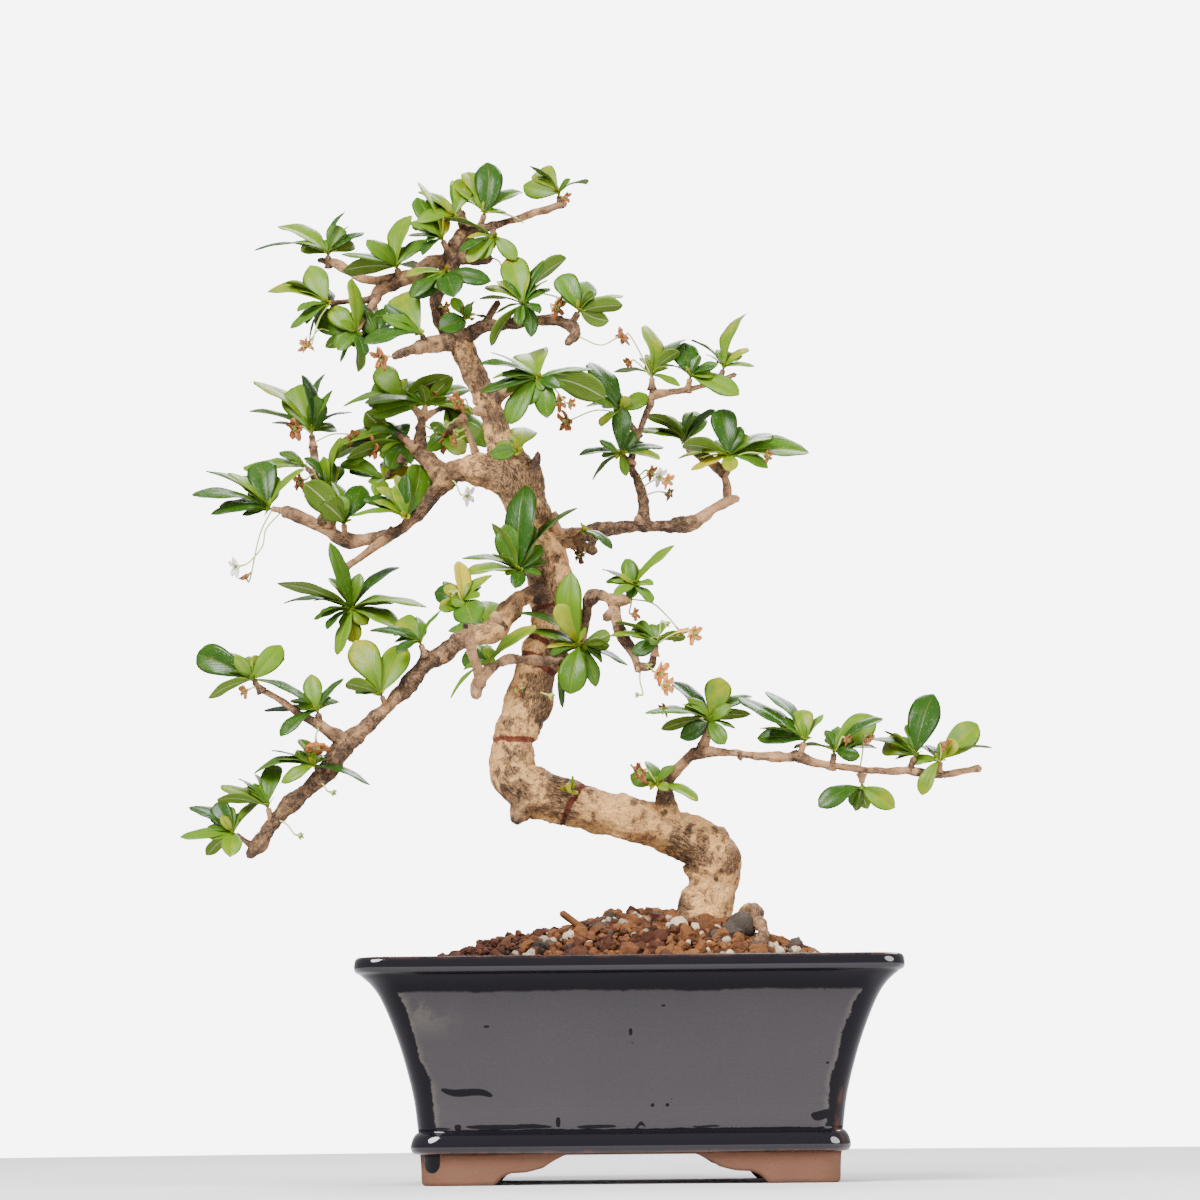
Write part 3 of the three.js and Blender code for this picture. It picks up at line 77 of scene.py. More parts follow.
# Wood: each limb is a path of (across, depth, up, thickness), from its root outwards.
TRUNK = (
    (26, 7, 106, 20), (28, 6, 121, 30), (31.5, 5, 132.5, 28), (36, 4, 146.5, 24), (36.5, 3, 157.5, 28),
    (32.5, 1, 167.5, 26), (20, -2, 174, 23), (5, -5, 179.5, 21), (-10, -8, 183, 21), (-25, -9, 187, 22),
    (-40, -8, 191.5, 23.5), (-52.5, -5, 195, 25), (-61.5, -2, 201.5, 24), (-63.5, 0, 209, 23),
    (-63, 2, 219, 20), (-59.5, 4, 231.5, 22), (-55.5, 6, 241.5, 24), (-53.5, 7, 251.5, 23),
    (-47.5, 8, 266.5, 21), (-44, 8, 276.5, 20), (-43.5, 8, 286.5, 21), (-44, 7, 296.5, 22),
    (-46, 6, 306.5, 22), (-48.5, 5, 316.5, 21), (-52.5, 3, 329, 20), (-57.5, 1, 341.5, 21),
    (-61, 0, 351.5, 25), (-66, -1, 361.5, 21), (-70, -2, 371.5, 14), (-73, -3, 381.5, 12.5),
    (-76.5, -4, 391.5, 12), (-82, -4, 401.5, 12), (-86, -4, 411.5, 12), (-90, -3, 420.5, 12),
    (-99, -2, 431.5, 8), (-102, -1, 441.5, 6.5), (-98.5, 0, 449, 7), (-95, 0, 460.5, 11), (-89, 2, 471.5, 10),
    (-84, 3, 478.5, 7),
)
LIMBS = {
    "crown_left": ((-95, 0, 460.5, 8), (-105, 7, 460.5, 8), (-112.5, 13, 454, 7), (-120, 18, 451.5, 8),
        (-130, 18, 446.5, 6), (-133, 13, 442, 4.5)),
    "crown_left_pale": ((-120, 18, 451.5, 5), (-137.5, 22, 452, 4.5), (-151.5, 31, 459.5, 4.5),
        (-161.5, 36, 461.5, 2.5)),
    "crown_stub_right": ((-91, 0, 463, 7), (-80, -4, 462.5, 6), (-73.5, -6, 462.5, 3.5)),
    "crown_top": ((-86, 3, 476, 6), (-92.5, 4, 489, 4)),
    "crown_long": ((-86, 3, 475, 7), (-76.5, 0, 477.5, 4.5), (-56, 12, 484, 4), (-36.5, 24, 490, 3.5)),
    "crown_stub_low": ((-88, -3, 422, 5), (-78.5, -4, 429, 4), (-70.5, -6, 441.5, 3)),
    "crown_low_left": ((-90, -3, 421, 7), (-105, -14, 419, 7), (-117.5, -27, 415.5, 5),
        (-124, -33, 413, 2.5)),
    "crown_right": ((-89, -3, 422, 8), (-80, -9, 427.5, 7), (-70, -12, 429, 6.5), (-60, -16, 430.5, 6.5),
        (-47.5, -22, 431.5, 5.5), (-42.5, -24, 431.5, 6), (-35, -28, 429, 5.5), (-32.5, -30, 424, 6),
        (-37.5, -30, 419, 4.5)),
    "high_side": ((-74, -4, 387, 7), (-71.5, -6, 391.5, 6), (-65, -16, 397.5, 6), (-53.5, -30, 399.5, 4.5)),
    "high_stump": ((-74, -3, 386.5, 6), (-84, -8, 385.5, 5)),
    "upper_left": ((-66, 0, 355, 18), (-80, 3, 356.5, 16), (-90, 6, 356.5, 12.5), (-97.5, 9, 351.5, 11),
        (-104, 12, 344, 8), (-110, 15, 336.5, 7), (-115, 18, 331.5, 6), (-120, 20, 326.5, 5.5),
        (-127.5, 23, 324, 5), (-137.5, 26, 321.5, 5.5), (-147.5, 28, 321.5, 7), (-155, 29, 325.5, 6),
        (-165, 30, 330.5, 6.5), (-175, 30, 335, 6), (-180, 30, 336, 4)),
    "upper_left_back": ((-98, 9, 352, 9), (-105, 18, 360.5, 8), (-110, 26, 365.5, 8), (-108.5, 34, 384, 3.5)),
    "upper_left_back_tip": ((-110, 26, 366, 5), (-119, 34, 373, 3)),
    "upper_left_pale": ((-82, 4, 358, 5), (-82.5, 4, 366, 3.5), (-89.5, 10, 382.5, 3)),
    "upper_left_twig": ((-158, 29, 328, 6), (-156, 33, 341.5, 4.5), (-161, 36, 354, 4.5),
        (-163.5, 40, 370, 4.5)),
    "upper_left_knob": ((-155.5, 29, 327, 5), (-154.5, 29, 341, 5)),
    "upper_left_hanging": ((-122.5, 22, 326, 5), (-137.5, 25, 314.5, 4), (-146.5, 25, 308, 4),
        (-147, 26, 301.5, 4.5), (-145, 26, 293, 3.5)),
    "lower_left": ((-46, 4, 296, 11), (-57.5, -4, 294, 9), (-66, -11, 285.5, 11), (-71, -16, 277.5, 12.5),
        (-80, -22, 274, 11), (-88.5, -27, 271.5, 9), (-100, -33, 264, 8.5), (-107.5, -37, 259, 8),
        (-117.5, -42, 246.5, 8), (-127.5, -46, 237.5, 7.5), (-137.5, -49, 227.5, 7.5), (-147.5, -51, 219, 9),
        (-157.5, -51, 205.5, 8.5), (-167.5, -50, 195.5, 7.5), (-177.5, -48, 187.5, 8.5),
        (-186, -46, 176.5, 6.5), (-191, -45, 169, 7), (-196.5, -44, 162.5, 4)),
    "lower_left_fork": ((-146, -50, 219.5, 8), (-151, -54, 222.5, 7), (-160, -58, 229, 4.5),
        (-170, -61, 234, 3.8), (-180, -64, 241.5, 3.2), (-191, -67, 247.5, 3)),
    "lower_left_stub": ((-104, -36, 261, 5), (-109, -40, 266.5, 4)),
    "front": ((-47, 2, 264, 7), (-34, -16, 260.5, 5), (-50, -42, 261, 4.5), (-67.5, -62, 261.5, 4.5),
        (-80, -76, 251.5, 6.5), (-82.5, -82, 242, 5)),
    "front_up": ((-80, -74, 254, 5), (-84, -82, 266.5, 4.5), (-86, -87, 281, 5.5)),
    "upper_right": ((-51, 3, 324, 13), (-38, 6, 323.5, 9), (-20, 13, 326.5, 7.5), (-5, 18, 328.5, 7),
        (10, 23, 328.5, 7.5), (22.5, 28, 329.5, 8.5), (29, 31, 331.5, 7), (37.5, 35, 337.5, 4.8),
        (45, 38, 341.5, 4.5), (50, 40, 342.5, 3)),
    "upper_right_under": ((-42, 5, 321.5, 7), (-33, 6, 319.5, 5.5), (-21, 6, 315.5, 4)),
    "upper_right_twig": ((2.5, 21, 329, 7), (1.5, 22, 341.5, 5), (-1.5, 24, 351.5, 4.2), (-4.5, 26, 361, 3.5),
        (0, 28, 376.5, 3), (5, 29, 389, 3.5), (7.5, 30, 394, 4.5), (25, 33, 397, 3), (40, 37, 401.5, 2.6),
        (48.5, 39, 404.5, 2.4)),
    "upper_right_short": ((7, 30, 393, 4), (6, 30, 399, 3)),
    "upper_right_end": ((44, 38, 341, 4.5), (43.5, 36, 349, 4), (42.5, 34, 354, 4.4), (44, 32, 359, 3.5)),
    "upper_right_back": ((43, 34, 354, 4.5), (32.5, 40, 363, 5.5), (25, 50, 367.5, 4)),
    "arch": ((-46, 6, 268, 8), (-32, -12, 271.5, 6.5), (-27, -26, 284, 6), (-25, -32, 292, 7),
        (-20, -36, 294, 6.2), (-14, -40, 290.5, 6), (-12, -42, 281.5, 5.5), (-9, -44, 274, 5.5),
        (-4, -46, 266, 5), (0, -48, 255, 4)),
    "arch_knob": ((-15, -40, 290.5, 5.5), (-5, -44, 292, 5.5)),
    "arch_twig": ((-2, -47, 258.5, 4.5), (5, -49, 258.5, 4), (7.5, -50, 265.5, 3.5)),
    "lower_right": ((14, -4, 178, 14), (13.5, -10, 192, 9), (14, -15, 201, 6), (22.5, -22, 210.5, 4.8),
        (30, -26, 215, 5.5), (47.5, -33, 215, 3.8), (60, -37, 213.5, 4.5), (72.5, -39, 213, 5.5),
        (80, -40, 213, 6.3), (87.5, -40, 210, 4.2), (105, -38, 207.5, 3.6), (120, -35, 206, 3.2),
        (135, -31, 206, 4), (147.5, -27, 204, 3.6), (160, -24, 205.5, 3.2), (171, -22, 207.5, 4.5)),
    "lower_right_stub": ((30, -26, 215, 5.5), (34.5, -29, 226, 4.5)),
    "lower_right_hang": ((110, -37, 207, 3.4), (111, -37, 203, 2.6)),
    "surface_root": ((32, 4, 120, 9), (44, -3, 121, 7), (51, -12, 132, 6.2), (54, -17, 136, 9.5),
        (57.5, -22, 135.5, 8.4), (58.5, -26, 131.5, 5.4), (60, -28, 129, 7), (61.5, -30, 126, 4.6),
        (61, -33, 122, 5.6), (59, -35, 118, 7.6), (57.5, -38, 111, 6)),
    "foot_knob": ((31, 4, 126, 12), (27, -2, 131, 15), (23, -6, 135.5, 15.5), (20, -8, 138.5, 12)),
}

# Rosettes of the solids: where the spur starts, its seat, the number of leaves hidden behind, and for each
# seen leaf a letter for its tone, and its tip from the seat (across, up) with its width, and -1 where its
# under side is seen.
ROSETTES = {
    "crown_left_tip": ((-156, 33, 459), (-156, 31, 463.5), 1, "DLLDGDL", ((-37, 3, 3), (-25, 15, 9),
        (-14, 8, 7), (8, 22, 4.5), (8, 17, 4), (18, 12, 6), (12, 8, 7))),
    "crown_left_knob": ((-120, 17, 452), (-121.5, 13, 457), 2, "GPLG", ((-28, 7.5, 4.5), (-27, 3.5, 6.5, -1),
        (5, 26.5, 10), (15, 15, 7.5))),
    "crown_far_left": ((-132.5, 13, 442), (-155, -6, 440), 1, "LLDGGD", ((-31, 6, 9), (-10, 19, 12),
        (-3, 8.5, 4), (-16.5, -4, 4), (-20, -12.5, 6), (-10.5, -19, 2.5))),
    "crown_under_left": ((-132, 13, 442), (-141.5, -9, 426.5), 0, "GDLLPGDDP", ((-23.5, 9.5, 12),
        (-3.5, 15, 4), (11.5, 29, 7), (-7, 22, 6), (-16, -8.5, 5, -1), (-9.5, -10, 6.5), (-8.5, -16, 3),
        (4, -13, 6), (0.5, -21, 5, -1))),
    "crown_low_left": ((-106, -15, 419), (-109, -21, 423.5), 1, "LDD", ((-12, 20.5, 15), (-20.5, 13, 7),
        (-29, -3.5, 8))),
    "upper_left_twig": ((-163.5, 40, 369), (-164, 40, 374), 1, "DDGLDDG", ((-5, 30, 4.5), (6, 30.5, 6),
        (10, 22.5, 4), (-29, 27, 8), (-31.5, 12, 3), (20, 11.5, 3.5), (12, 3.5, 6))),
    "upper_left_knob": ((-154.5, 29, 340), (-154.5, 29, 345.5), 1, "LDD", ((5, 27.5, 3.5), (-2.5, 17, 10),
        (-13.5, 17, 4))),
    "upper_left_tip": ((-178, 30, 336), (-184, 29, 337), 1, "DGDDDLLL", ((-40, 7, 6), (-33, 19, 4),
        (-31, 2, 5.5), (-6, 23.5, 14), (-15, -3, 4), (2, 16.5, 7), (16, 20, 4), (-19, 21.5, 6))),
    "upper_left_front": ((-147.5, 27, 322), (-148, 20, 329), 1, "PDDPG", ((-10, 11, 12.5, -1), (9, 20, 11),
        (8.5, 12.5, 5), (-20, 21, 13, -1), (-6, 22, 5))),
    "upper_left_mid": ((-117, 18, 329), (-117, 12, 332), 1, "GDLDLL", ((16, 22.5, 13), (3, 21, 7),
        (-4.5, 22, 7), (-21.5, 10, 7), (-27.5, 1.5, 3.5), (-16.5, 13.5, 6))),
    "back_left_high": ((-108.5, 34, 383), (-118, 48, 392), 1, "LDPLGD", ((-12.5, 17, 12), (5, 9, 6),
        (23, 12, 7, -1), (-30.5, -3.5, 5), (-17.5, 1.5, 12.5), (-23.5, -18.5, 5))),
    "back_left_right": ((-108.5, 34, 383), (-98, 56, 388), 1, "GGLGL", ((14, 8.5, 4), (5, 5, 7),
        (15, -3.5, 5), (23.5, -16.5, 11), (5, -23.5, 7))),
    "back_left_low": ((-118, 33, 372), (-122, 40, 374.5), 1, "PGLPDY", ((-15.5, 11, 11, -1), (-14.5, -1.5, 9),
        (-30.5, -5.5, 7), (-32, -12, 5, -1), (-3.5, -14, 6), (8, -16.5, 6))),
    "crown_top_left": ((-95, -2, 463), (-98.5, -7, 471), 1, "DLYGLD", ((-17.5, 3, 3), (-16.5, 9.5, 7),
        (0, 14, 4), (-13, 22, 10), (-15, 26, 6.5), (-10.5, -7, 4))),
    "crown_top": ((-80, 2, 478), (-78, -4, 484), 1, "LLDGDL", ((-9, 21.5, 10), (-16, 17.5, 8),
        (1.5, 26.5, 13), (18.5, 12, 7.5), (3, 5.5, 4), (20, -4, 3))),
    "crown_long_tip": ((-40, 22, 489), (-40.5, 20, 493.5), 2, "LLG", ((-18, 5.5, 10), (-11, 12.5, 11),
        (5.5, 8.5, 3))),
    "crown_front": ((-74, 2, 478), (-73, -9, 473.5), 1, "LLD", ((-13, -13, 7.5), (11, -12, 7.5),
        (-17, -7.5, 5))),
    "crown_collar": ((-97, -2, 455), (-97, -13, 455), 0, "DLDDD", ((22.5, -4, 9), (-20, -1.5, 4.5),
        (-17.5, -11.5, 9), (-15.5, -15, 8), (4, -12, 12))),
    "crown_neck": ((-91, -6, 422), (-88, -15, 431), 0, "DLD", ((-12.5, -4, 10), (4.5, 9.5, 4.5), (9, 2, 4))),
    "crown_right": ((-60, -17, 430), (-58.5, -22, 438), 1, "LLDPDGDDP", ((-19, 10.5, 7), (-6, 25.5, 13),
        (-11, 16.5, 5), (21.5, 24.5, 3.5, -1), (13, 21.5, 6), (10.5, 11.5, 6), (8.5, -3, 4.5), (4, -15, 6.5),
        (-12, -21, 7, -1))),
    "crown_right_tip": ((-35, -28, 429), (-31, -34, 435), 0, "GLPPGD", ((5, 16, 12), (22.5, 9, 5),
        (22.5, 4, 6, -1), (15.5, -4, 7.5, -1), (-9, 19, 11), (-18, 10, 3))),
    "high_front": ((-54, -29, 399), (-51.5, -34, 401.5), 0, "LGPDGGDLDL", ((-4.5, 13.5, 16), (28.5, 5.5, 4.5),
        (34, -9, 10, -1), (11.5, -4, 6), (5, -19, 10), (-13.5, -22, 10), (-28.5, -6, 6.5), (-22.5, 1, 4.5),
        (-28.5, 8, 4), (-23, 14, 3))),
    "high_right_near": ((-1, 28, 374), (-9, 20, 385), 1, "DLLLL", ((-15.5, 25.5, 11), (-18, 3.5, 4.5),
        (-1, 9, 6), (12.5, 9.5, 8), (-10.5, -6.5, 4))),
    "high_right_low": ((-4.5, 26, 360), (-9, 17, 364), 0, "DLDDDL", ((-21.5, 0, 4), (-15, -12.5, 3),
        (5, 21, 7), (9.5, 6, 7.5), (21, 4, 5), (19, -2, 4.5))),
    "high_right_top": ((6, 30, 398), (6, 30, 402.5), 1, "LDLPL", ((-3, 26.5, 9), (11, 26, 8), (4, 13, 4),
        (13.5, 13.5, 5.5, -1), (14, -4, 4))),
    "high_right_mid": ((24, 33, 397), (25, 30, 402), 1, "DLDL", ((-3, 18.5, 12.5), (-5.5, 6, 4.5),
        (12.5, 6, 3), (24.5, -8, 10))),
    "high_right_end": ((40, 37, 402), (41.5, 36, 406.5), 2, "LDL", ((11, 28, 7), (-8.5, 8, 3), (16, 2, 3))),
    "right_back": ((25, 49, 367), (23, 60, 371), 1, "PLLGD", ((-21, 13, 4, -1), (-12.5, 13.5, 3.5),
        (-23.5, 6, 6), (5, 15, 12), (14.5, 15.5, 4))),
    "right": ((44, 32, 358), (44.5, 30, 362), 1, "DLDGGPYL", ((-4, 25, 12), (0.5, 14, 8), (21, 13, 7),
        (39, 9, 12), (19.5, -4.5, 6), (-23, 7.5, 6, -1), (-19, -5.5, 4.5), (-25.5, 0.5, 4.5))),
    "trunk_front": ((-50, 0, 303), (-60, -16, 306), 0, "DDPGLDD", ((5, 41, 14), (27, 31, 6),
        (-14, 24, 4.5, -1), (-29, 6.5, 4.5), (-27.5, -2, 6), (-2.5, -8.5, 7), (10, 0, 5))),
    "front": ((-86, -86, 280), (-88, -91, 289), 0, "YDLGDLG", ((-2.5, 22, 7), (-15, 6, 9), (-12.5, -2, 6),
        (4, -9, 14), (6.5, 11, 6), (14, 15, 5), (-10, 12, 5))),
    "front_low": ((-79, -74, 253), (-76, -70, 259), 0, "LDLG", ((23.5, 20, 7), (-13, 4, 9), (-16.5, -16, 4),
        (-6, 10, 5))),
    "arch_knob": ((-6, -44, 292), (-4, -46, 297), 1, "LLDLG", ((21, 22, 4.5), (1, 11, 7), (-13, 4, 5),
        (-9, -3, 4.5), (10, -7, 4.5))),
    "arch_twig": ((7.5, -50, 265), (8, -51, 269), 1, "GDPLL", ((-11.5, 9, 9), (-12, -4, 7), (15, 4, 4.5, -1),
        (-21.5, 3.5, 4), (6, 12, 5))),
    "arch_root": ((-30, -14, 271), (-30, -24, 269), 0, "LDGYPDGGD", ((6.5, 33.5, 12), (-33.5, 11.5, 4),
        (-22.5, 8, 6), (-16.5, 1.5, 4.5), (15, 5.5, 7, -1), (24, -10, 4), (-5, -24.5, 13), (8, -21, 7),
        (-12, -29, 5))),
    "left_stub": ((-108, -40, 265), (-109.5, -42, 269), 1, "LDDGD", ((-11, 13, 11), (-25.5, 7.5, 5),
        (-1.5, 14, 4), (9, 17.5, 4), (-12, -4, 4))),
    "left_mid": ((-127, -46, 238), (-129, -50, 243), 1, "LLGPD", ((-14, 28, 14), (11, 26, 12), (-2, 24, 7.5),
        (-18, 7, 6, -1), (-13.5, 3, 4.5))),
    "left_fork": ((-160, -58, 229), (-161, -60, 234.5), 1, "LDGDD", ((-3.5, 20, 8.5), (12.5, 18, 4),
        (10, 6.5, 5), (-27, 2, 4), (-21.5, -8, 5))),
    "left_fork_tip": ((-190, -67, 247), (-193, -69, 250.5), 1, "DLLDPD", ((-28.5, 14, 13), (-2, 13, 5),
        (13.5, 18.5, 10), (14.5, 13, 7), (-23, -8, 4, -1), (28, -11, 4))),
    "left_low": ((-158, -52, 205), (-162, -57, 208), 1, "LGLDL", ((-17.5, -8, 6), (-31, -3, 5), (5, 6, 4),
        (28, -5, 4), (-8, 14, 5))),
    "left_low_end": ((-184, -46, 178), (-186, -50, 187), 1, "GLPL", ((2.5, 23.5, 9), (-23.5, 12, 6),
        (-25.5, 5, 4.5, -1), (-4.5, 19, 4))),
    "left_low_tip": ((-192.5, -45, 167.5), (-202, -47, 174), 1, "DDBPLLL", ((-23.5, 14, 6), (-13.5, 12, 9),
        (-28, -1, 5), (-15, -10, 4.5, -1), (-3, -11, 9), (3, 12, 5), (14, 18, 5))),
    "right_foot": ((13.5, -12, 196), (9, -20, 199), 0, "GGL", ((-14, 5, 8), (-6, 12, 5), (20, -8, 5))),
    "low_right_stub": ((34, -29, 225), (34.5, -29.5, 229.5), 1, "LDGPDPDPG", ((5.5, 23.5, 12), (-19, 21.5, 7),
        (-32, 5.5, 4), (-13, 8, 4, -1), (-14.5, -7, 8), (-24, -2.5, 4, -1), (21.5, 14, 6), (21, 5, 4, -1),
        (8, -10, 7.5))),
    "low_right_mid": ((80, -40, 214), (82, -43, 220), 1, "DDDDLL", ((-32.5, 23, 8), (-19, 26, 7),
        (-23.5, 2.5, 8), (-13, 6, 4), (-2, 15.5, 9), (9.5, 14.5, 4))),
    "low_right_outer": ((96, -39, 208), (97, -41, 214.5), 1, "DLDDG", ((24.5, 17.5, 4), (21, 18.5, 13),
        (13, -1, 6), (21.5, 3, 4), (2, 14, 5))),
    "low_right_far": ((135, -31, 206), (137, -32, 212.5), 1, "DLDG", ((10, 32, 14), (-15, 7, 11), (-9, 0, 4),
        (-22.5, 9.5, 4))),
    "low_right_tip": ((150, -26, 205), (150, -30, 210), 2, "LDL", ((19, 19.5, 12), (-6, 9, 5),
        (-9, -16, 6.5))),
    "low_right_hanging": ((111, -37, 203), (111, -37, 200), 0, "DLG", ((-21.5, -12, 9), (16.5, -12.5, 9),
        (3, -13, 6, -1))),
    "upper_left_hanging": ((-145, 26, 293), (-144.5, 25, 289), 1, "PDDLLLLDG", ((-37, 11, 4, -1), (-34, 1, 4),
        (-12, -12, 4), (-7, -25, 7), (2, -19, 8), (24, -12, 8), (38, -1, 4.5), (24, 19, 6), (-8, 33, 6.5))),
}

# Turns and tilts in degrees, one way and the other, that a leaf of the solids may have been given to clear
# what stands near it.
SWINGS = ((0, 0), *(
    (way * turn, way * tilt)
    for turn, tilt in (
        (0, 8), (9, 0), (10, 9), (10, -9), (0, 17), (19, 0), (20, 16), (20, -16), (0, 28), (32, 0), (34, 20),
    )
    for way in (1, -1)
))

# Blooms of the solids: the path of the stalk (across, depth, up), the reach of the petals, and the kind.
BLOOMS = {
    "flower_withered_hanging": (((-160, -58, 229), (-162, -62, 224), (-162, -63, 221)), 7, "withered"),
    "flower_withered_left": (((-130, 17, 446), (-141, 4, 434), (-151, -2, 425.5), (-160, -5, 427),
        (-165, -6, 421)), 5, "withered"),
    "flower_white": (((-180, 30, 335), (-187, 24, 327), (-189, 22, 318), (-196, 20, 310),
        (-200, 18, 308.5)), 6, "white"),
    "flower_peach": (((-5, -44, 292), (6, -48, 290), (14, -50, 283), (19, -51, 277)), 6, "peach"),
    "flower_withered_crown": (((-32, -30, 424), (-20, -34, 419), (-11, -37, 423)), 5, "withered"),
}

# Short pieces of wood that only the finished tree has.
SMALL_WOOD = {
    "trunk_nub": ((-55, -8, 193, 12), (-61, -12, 184, 9), (-63.5, -14, 180, 4)),
    "root_burl": ((32, 3, 140, 13), (25, -4, 138.5, 14), (19, -6, 137, 9)),
    "root_right": ((34, 2, 124, 16), (40, -3, 124, 13), (47, -7, 121, 8)),
    "bend_knot": ((33, -3, 160, 14), (38, -7, 162, 8), (40.5, -9, 163, 4)),
    "lower_left_knob": ((-71, -17, 277, 8), (-72.5, -21, 283, 6), (-73, -22, 286, 4)),
    "lower_left_spur": ((-100, -34, 262, 6), (-98, -38, 268.5, 4.5)),
    "arch_spur": ((-13, -41, 285, 5), (-18.5, -43, 281.5, 4)),
    "under_stub": ((-22, 13, 325, 5), (-25, 9, 318.5, 4), (-29, 7, 317, 3)),
    "upper_stub": ((-40, 4, 324, 6), (-43, -6, 331, 5), (-42, -8, 336, 3)),
    "crown_knob": ((-88, -4, 420, 6), (-91, -10, 425, 5), (-95, -12, 426, 3)),
    "dry_spur": ((-57, -6, 352, 6), (-52, -12, 361, 4), (-51, -14, 366, 2.4)),
    "bend_top": ((34, 1, 167, 15), (40, -4, 175, 10), (42, -5, 178, 5)),
    "bend_out": ((40, 0, 161, 16), (46.5, -5, 167, 10), (48.5, -6, 168.5, 5)),
    "right_bump": ((-1, 18, 329, 5), (-1, 17, 334.5, 3)),
    "low_right_bump": ((50, -34, 215, 4), (50.5, -35, 211, 3)),
}

# Shoots and small rosettes that only the finished tree has, written like ROSETTES.
SPROUTS = {
    "trunk_shoot": ((-60, -6, 360), (-61, -16, 365.5), 0, "LGL", ((3, 12.5, 12), (-14, -1.5, 7), (-3, 6, 5))),
    "bend_shoot": ((-36, -12, 190), (-35, -20, 195), 0, "YY", ((-2, 3.5, 3), (2.6, 2.6, 3))),
    "crown_filler": ((-133, 13, 442), (-132, -2, 424), 0, "DDGDD", ((-10, 17, 5), (3.5, 13.5, 7),
        (-12.5, 12, 8), (7, 6.5, 6), (-14.5, 0, 5))),
    "crown_peak": ((-90, 4, 484), (-92.5, -3, 484), 0, "LLGLYG", ((-18, 12, 6), (6, 18, 11), (-14.5, 8, 8),
        (-19, -3.5, 7), (-6, 0, 4), (-1, 16, 4))),
    "back_high": ((-110, 34, 378), (-107.5, 44, 388), 0, "GGGGPGL", ((-27, -4, 10), (-27, 5.5, 8),
        (-30, 2, 5), (-9.5, 10.5, 6), (13.5, 15.5, 6, -1), (21.5, 9.5, 7), (22.5, 0, 6))),
    "back_low": ((-112, 26, 365), (-117, 36, 369), 0, "DGPDDLG", ((-19, 9.5, 9), (-30, 0, 8),
        (-30, -6.5, 5, -1), (-8, -12, 10), (2.5, -9.5, 7), (-13.5, -5.5, 8), (-2.5, 10.5, 8))),
    "back_near": ((-89, 10, 382), (-97, 20, 374.5), 0, "GLLG", ((-6.5, 6.5, 6), (17.5, 2.5, 10),
        (9.5, -9.5, 9), (-9, -8, 7))),
    "left_dark": ((-155, 30, 341), (-154, 36, 347), 0, "DDLG", ((-5, 13.5, 8), (4, 11.5, 7), (6, 25, 4),
        (-9.5, 5.5, 6))),
    "left_lime": ((-163, 38, 354), (-166.5, 42, 357.5), 0, "LG", ((-32, 0.5, 8), (-14, 8, 5))),
    "inner_left": ((-119, 26, 362), (-127, 30, 353), 0, "GDDYL", ((-22.5, 7, 8), (-18.5, 3.5, 5), (5, 4, 10),
        (17, 3, 6), (-6, -9, 8))),
    "under_leaf": ((-33, 6, 319.5), (-29, 0, 325), 0, "D", ((15, -8, 4),)),
    "neck_shoot": ((-76, -6, 273), (-77, -12, 277), 0, "LGD", ((1.5, 14, 11), (-19, -1, 5), (-12, 8, 5))),
}
BARE_ROSETTES = ("crown_long_tip",)
TONES = {"D": 0.0, "G": 0.4, "L": 0.72, "Y": 1.0, "P": 0.5, "B": 0.62}

# Wire marks round the trunk (across, up, slant), then rough dark places and knots (across, up, radius).
WIRE_MARKS = (
    (-59.5, 217.5, 0.15), (-33, 189.5, -0.25), (-50, 271.5, -0.1), (-54.5, 265, 0.1), (-46.5, 287, 0.1),
    (-52, 258.5, 0.0),
)
ROUGH_PLACES = (
    (-50, 245, 9), (-46, 236, 8), (-44, 252, 7), (-61, 194, 7), (-50, 302, 8), (-44, 296, 7), (-51, 311, 6),
    (-48, 355, 10), (-60, 346, 12), (-72, 357, 12), (-45, 345, 8), (26, 164, 8), (20, 170, 6), (45.5, 158, 3),
    (-40, 193, 9), (-63, 213, 4), (-64, 204, 4), (-47, 333, 5), (-88, 455, 6), (-78, 398, 5), (-70, 378, 5),
    (-66, 230, 3), (21, 134, 7), (-55, 362, 7), (-42, 201, 4),
)
KNOTS = (
    (-66.5, 210.5, 2.6), (-71, 204, 2.4), (-67.5, 196.5, 2.6), (-60, 193, 2.2), (-49, 290, 4.5),
    (-46, 285, 4.5), (-25, 194, 2.2), (-3, 189, 2.4), (12, 184, 2.2), (39, 167, 1.8), (28, 150, 1.9),
    (38, 151, 1.3), (37, 175.5, 2.2), (33, 172, 1.6), (-35, 200, 2.4), (-42, 200, 2.8), (-33, 196, 1.8),
    (-51, 230, 1.8), (-57, 221, 1.6), (-42, 311, 2.2), (-58, 330, 2.0), (24, 175, 2.4),
)

